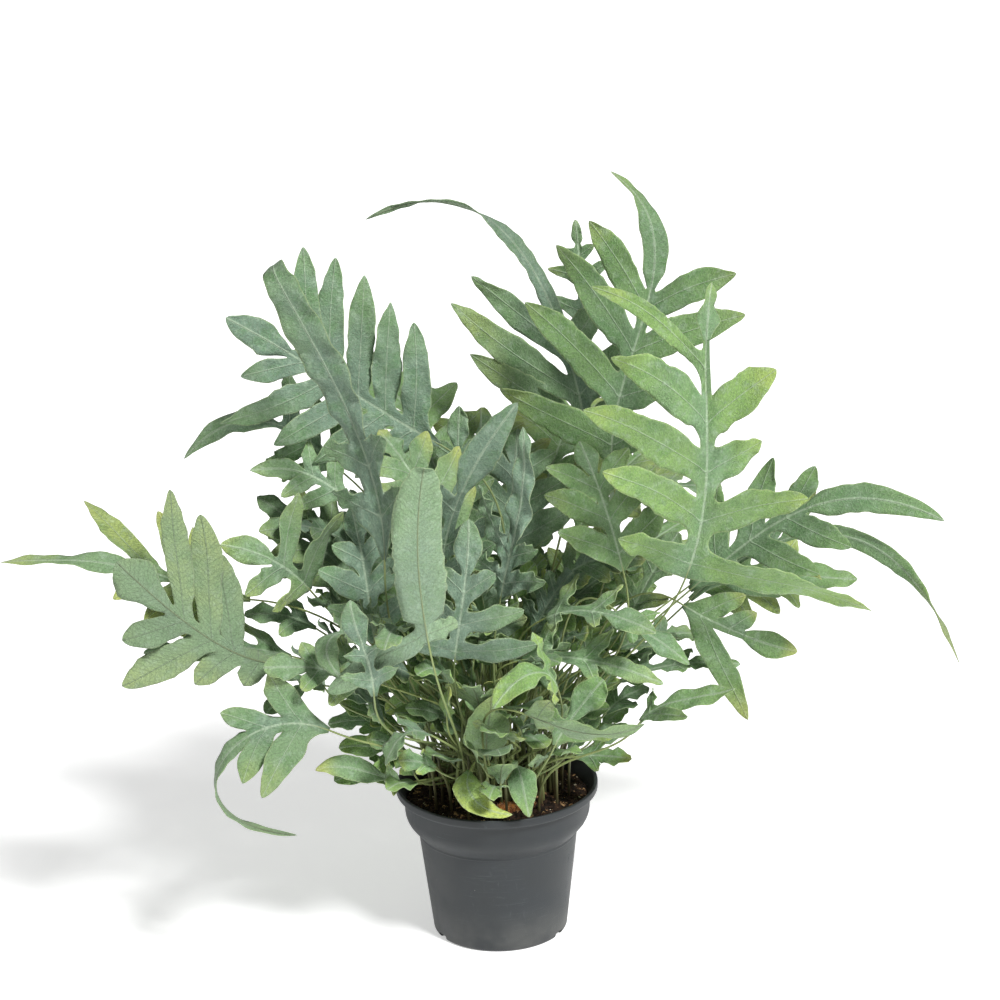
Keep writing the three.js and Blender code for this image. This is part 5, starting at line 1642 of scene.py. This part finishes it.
def soil_bed():
    inside, floor = POT["wall"] + SOIL_GAP, POT["floor"] + SOIL_GAP
    low = [
        (0, floor),
        (POT["base"] - inside, floor),
        (BODY_TOP[0] - inside, BODY_TOP[1] + 2 * SOIL_GAP),
        (COLLAR["low"][0] - inside, COLLAR["low"][1] + SOIL_GAP),
    ]
    radii = np.arange(SOIL["edge_radius"], SOIL_RING_STEP, -SOIL_RING_STEP)
    top = [(r, float(soil_height(r))) for r in radii] + [(0, SOIL["crown"])]
    bed = spun("soil_bed", low + top, SPIN_STEPS["soil"])
    for vertex in bed.data.vertices:
        radius = math.hypot(vertex.co.x, vertex.co.y) / MM
        if vertex.co.z > (SOIL["edge"] - 4) * MM and radius < SOIL["edge_radius"] - 0.5:
            at = vertex.co / MM
            broad = mathutils_noise.fractal(at / LUMP_SIZES["broad"], 0.8, 2.1, 3)
            fine = mathutils_noise.fractal(at / LUMP_SIZES["fine"], 0.7, 2.1, 3)
            vertex.co.z += SOIL_LUMPS * (0.9 * broad + 0.6 * fine) * MM
    soften(bed, EARTH_EDGE)
    return bed


# %% Crumb tree
def new_tree(name, inputs):
    """A Geometry Nodes tree with named inputs. Returns it, their sockets and their identifiers."""
    tree = bpy.data.node_groups.new(name, "GeometryNodeTree")
    keys = {}
    for label, (kind, value) in inputs.items():
        socket = tree.interface.new_socket(label, in_out="INPUT", socket_type=f"NodeSocket{kind}")
        if value is not None:
            socket.default_value = value
        keys[label] = socket.identifier
    tree.interface.new_socket("Result", in_out="OUTPUT", socket_type="NodeSocketGeometry")
    return tree, tree.nodes.new("NodeGroupInput").outputs, keys


def end_tree(tree, geometry, material):
    real = place(tree, "GeometryNodeRealizeInstances", {0: geometry})
    done = place(tree, "GeometryNodeSetMaterial", {"Geometry": real, "Material": material})
    tree.links.new(done, tree.nodes.new("NodeGroupOutput").inputs["Result"])


def draw(tree, low, high, seed):
    """A random number for each point."""
    return place(tree, "FunctionNodeRandomValue", {2: low, 3: high, 8: seed}, out=1, data_type="FLOAT")


def draw_three(tree, low, high, seed):
    """Three random numbers for each point."""
    return place(tree, "FunctionNodeRandomValue", {0: low, 1: high, 8: seed}, data_type="FLOAT_VECTOR")


def crumb_tree():
    tree, given, keys = new_tree("scatter lumps", {
        "Surface": ("Geometry", None),
        "Number per m2": ("Float", 10000.0),
        "Smallest": ("Float", 0.001),
        "Largest": ("Float", 0.003),
        "Flatness": ("Float", 0.7),
        "Length": ("Float", 1.3),
        "Roughness": ("Float", 0.0006),
        "Detail": ("Int", 1),
        "Seed": ("Int", 1),
        "Material": ("Material", None),
    })
    up = place(tree, "ShaderNodeSeparateXYZ", {0: place(tree, "GeometryNodeInputNormal")}, out=2)
    points = place(tree, "GeometryNodeDistributePointsOnFaces", {
        "Mesh": given["Surface"], "Selection": calc(tree, "GREATER_THAN", up, 0.5),
        "Density": given["Number per m2"], "Seed": given["Seed"],
    })
    lump = place(tree, "GeometryNodeMeshIcoSphere", {"Radius": 0.5, "Subdivisions": given["Detail"]})
    share = calc(tree, "POWER", draw(tree, 0.0, 1.0, given["Seed"]), 2.5)
    size = ramp(tree, share, 0.0, 1.0, given["Smallest"], given["Largest"])
    long = calc(tree, "MULTIPLY", size, given["Length"])
    thin = calc(tree, "MULTIPLY", size, given["Flatness"])
    scale = place(tree, "ShaderNodeCombineXYZ", {0: long, 1: size, 2: thin})
    spin = draw_three(tree, (-0.5, -0.5, 0), (0.5, 0.5, 2 * math.pi), given["Seed"])
    lumps = place(tree, "GeometryNodeInstanceOnPoints", {
        "Points": points, "Instance": lump, "Rotation": spin, "Scale": scale,
    })
    real = place(tree, "GeometryNodeRealizeInstances", {0: lumps})
    way = place(tree, "ShaderNodeTexNoise", {"Scale": 520.0, "Detail": 2.0}, out="Color")
    centred = place(tree, "ShaderNodeVectorMath", {0: way, 1: (0.5, 0.5, 0.5)}, operation="SUBTRACT")
    push = place(tree, "ShaderNodeVectorMath", {0: centred, 3: given["Roughness"]}, operation="SCALE")
    rough = place(tree, "GeometryNodeSetPosition", {"Geometry": real, "Offset": push})
    flat = place(tree, "GeometryNodeSetShadeSmooth", {"Geometry": rough, "Shade Smooth": False})
    end_tree(tree, flat, given["Material"])
    return tree, keys


def grown(name, base, tree, keys, **inputs):
    """A new piece made by a tree on a base mesh. Inputs are set by their sockets' identifiers."""
    piece = new_object(name, base.data.copy())
    modifier = piece.modifiers.new(tree.name, "NODES")
    modifier.node_group = tree
    for label, value in inputs.items():
        modifier[keys[label.replace("_", " ")]] = value
    return plain_mesh(piece)


# %% [markdown]
# ## Soil finishes
#
# Wet peat is nearly black with warm brown crumbs. Bark is dark brown to tan, and perlite is a dull cream
# colour, both in blotches. All three are rough, so light shows them by their shape.

# %% Soil finishes
def earth_material(name, dark, light, size, relief):
    material, tree, shader = new_material(name, 0.92, Specular_IOR_Level=0.25)
    where = spot(tree)
    blotches = mask_of(tree, MOTTLE, where, size, 0.35, 0.7)
    grains = mask_of(tree, SPECKS, where, 0.25 * size, 0.35, 0.3)
    colour = stained(tree, tint(tree, blotches, paint(dark), paint(light)), (light, grains, 0.55))
    rough = noise(tree, where, 2.5 / size, 4.0, 0.65)
    wire(tree, shader, Base_Color=colour, Normal=bump(tree, rough, relief, 0.9))
    return material


PEAT = earth_material("wet peat", "150f0b", "3c2a1e", 0.006, 0.0009)
BARK = earth_material("bark chip", "3d2a1d", "c09a6e", 0.003, 0.0006)
PERLITE = earth_material("perlite", "9a8a72", "e0d6c2", 0.002, 0.0004)

# %% Soil pieces
LUMPS = [
    # piece, finish, number per m2, smallest, largest, flatness, length, roughness, detail, seed
    ("peat_crumbs", PEAT, 150000.0, 0.0009, 0.0046, 0.75, 1.25, 0.0014, 1, 3),
    ("bark_chips", BARK, 24000.0, 0.0007, 0.0052, 0.45, 1.7, 0.0016, 1, 8),
    ("perlite_grains", PERLITE, 6000.0, 0.0010, 0.0032, 0.8, 1.1, 0.0010, 2, 5),
]


def add_soil():
    bed = soil_bed()
    bed.data.materials.append(PEAT)
    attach(bed, "root")
    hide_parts("soil")
    tree, keys = crumb_tree()
    for name, finish, number, least, most, flat, long, rough, detail, seed in LUMPS:
        piece = grown(
            name, bed, tree, keys, Number_per_m2=number, Smallest=least, Largest=most, Flatness=flat,
            Length=long, Roughness=rough, Detail=detail, Seed=seed, Material=finish,
        )
        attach(piece, "root")
        print(name, len(piece.data.polygons), "faces")
    bpy.data.node_groups.remove(tree)


add_soil()

# %% [markdown]
# ## The rhizomes
#
# A rhizome is the fern's creeping stem. It lies half in the soil, as thick as a finger, and wears a coat
# of golden brown hair-like scales that gives this genus its rusty foot. The body is the CAD's curve of
# revolution with more steps and a bumpy skin. The scales are thin cones placed by Geometry Nodes: they
# stand on the skin and lean at random, so light catches them from every side.

# %% Rhizomes
RHIZOMES = [
    {"name": "rhizome_front", "centre": (14, -44), "degrees": 20, "length": 44, "radius": 7},
    {"name": "rhizome_back", "centre": (34, 40), "degrees": -35, "length": 46, "radius": 7},
]
RHIZOME_SCALES = {"number": 620000.0, "length": 3.4, "width": 0.34, "lean": 0.9}
RHIZOME_RINGS = 41
RHIZOME_BUMPS = {"height": 0.5, "size": 5}


def rhizome_body(name, centre, degrees, length, radius):
    share = np.linspace(0, 1, RHIZOME_RINGS)
    swell = np.maximum(0, np.sin(np.pi * share)) ** 0.45 * (1 + 0.12 * np.sin(9 * share))
    swell[[0, -1]] = 0
    body = spun(name, list(zip(0.9 * radius * swell, (share - 0.5) * length)), SPIN_STEPS["rhizome"])
    x, y = centre
    lie = Matrix.Rotation(math.radians(degrees), 4, "Z") @ Matrix.Rotation(math.pi / 2, 4, "Y")
    height = float(soil_height(math.hypot(x, y))) + 1
    body.data.transform(Matrix.Translation(Vector((x, y, height)) * MM) @ lie)
    for vertex in body.data.vertices:
        bumps = mathutils_noise.fractal(vertex.co / MM / RHIZOME_BUMPS["size"], 0.8, 2, 2)
        vertex.co += vertex.normal * RHIZOME_BUMPS["height"] * bumps * MM
    soften(body, EARTH_EDGE)
    return body


def scale_tree():
    tree, given, keys = new_tree("stand scales", {
        "Surface": ("Geometry", None),
        "Number per m2": ("Float", 100000.0),
        "Length": ("Float", 0.004),
        "Width": ("Float", 0.0004),
        "Lean": ("Float", 0.8),
        "Seed": ("Int", 1),
        "Material": ("Material", None),
    })
    scatter = add_node(tree, "GeometryNodeDistributePointsOnFaces", {
        "Mesh": given["Surface"], "Density": given["Number per m2"], "Seed": given["Seed"],
    }).outputs
    cone = place(tree, "GeometryNodeMeshCone", {
        "Vertices": 3, "Radius Top": 0.0, "Radius Bottom": given["Width"], "Depth": given["Length"],
    })
    lean = draw_three(tree, (-1, -1, -3), (1, 1, 3), given["Seed"])
    leaning = place(tree, "ShaderNodeVectorMath", {0: lean, 3: given["Lean"]}, operation="SCALE")
    turn = place(tree, "FunctionNodeRotateRotation", {
        0: scatter["Rotation"], 1: place(tree, "FunctionNodeEulerToRotation", {0: leaning}),
    }, rotation_space="LOCAL")
    size = draw(tree, 0.5, 1.0, given["Seed"])
    scales = place(tree, "GeometryNodeInstanceOnPoints", {
        "Points": scatter["Points"], "Instance": cone, "Rotation": turn, "Scale": size,
    })
    both = tree.nodes.new("GeometryNodeJoinGeometry")
    tree.links.new(scales, both.inputs[0])
    tree.links.new(given["Surface"], both.inputs[0])
    end_tree(tree, both.outputs[0], given["Material"])
    return tree, keys


# %% [markdown]
# ## Rhizome finish
#
# Up close the coat is a mix of brown, rust and gold hairs. A blotchy noise at the scale of a few hairs
# gives each bundle its own colour.

# %% Rhizome finish
def rhizome_material():
    material, tree, shader = new_material("rusty scales", 0.75, Specular_IOR_Level=0.3, Sheen_Weight=0.3)
    where = spot(tree)
    rust = tint(tree, mask_of(tree, MOTTLE, where, 0.004, 0.35, 0.65), paint("6e3d1b"), paint("bf7b3c"))
    colour = stained(tree, rust, ("d9a560", mask_of(tree, MOTTLE, where, 0.0016, 0.5, 0.7), 1))
    wire(tree, shader, Base_Color=colour, Normal=bump(tree, noise(tree, where, 1800.0, 3.0), 0.0004, 0.7))
    return material


def add_rhizomes():
    finish = rhizome_material()
    tree, keys = scale_tree()
    for i, row in enumerate(RHIZOMES):
        body = rhizome_body(**row)
        coated = grown(
            f"{row['name']}_coat", body, tree, keys, Number_per_m2=RHIZOME_SCALES["number"],
            Length=RHIZOME_SCALES["length"] * MM, Width=RHIZOME_SCALES["width"] * MM,
            Lean=RHIZOME_SCALES["lean"], Seed=11 + i, Material=finish,
        )
        bpy.data.objects.remove(body)
        coated.data.materials.clear()
        coated.data.materials.append(finish)
        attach(coated, "root")
        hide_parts(row["name"])
        print(coated.name, len(coated.data.polygons), "faces")
    bpy.data.node_groups.remove(tree)


add_rhizomes()
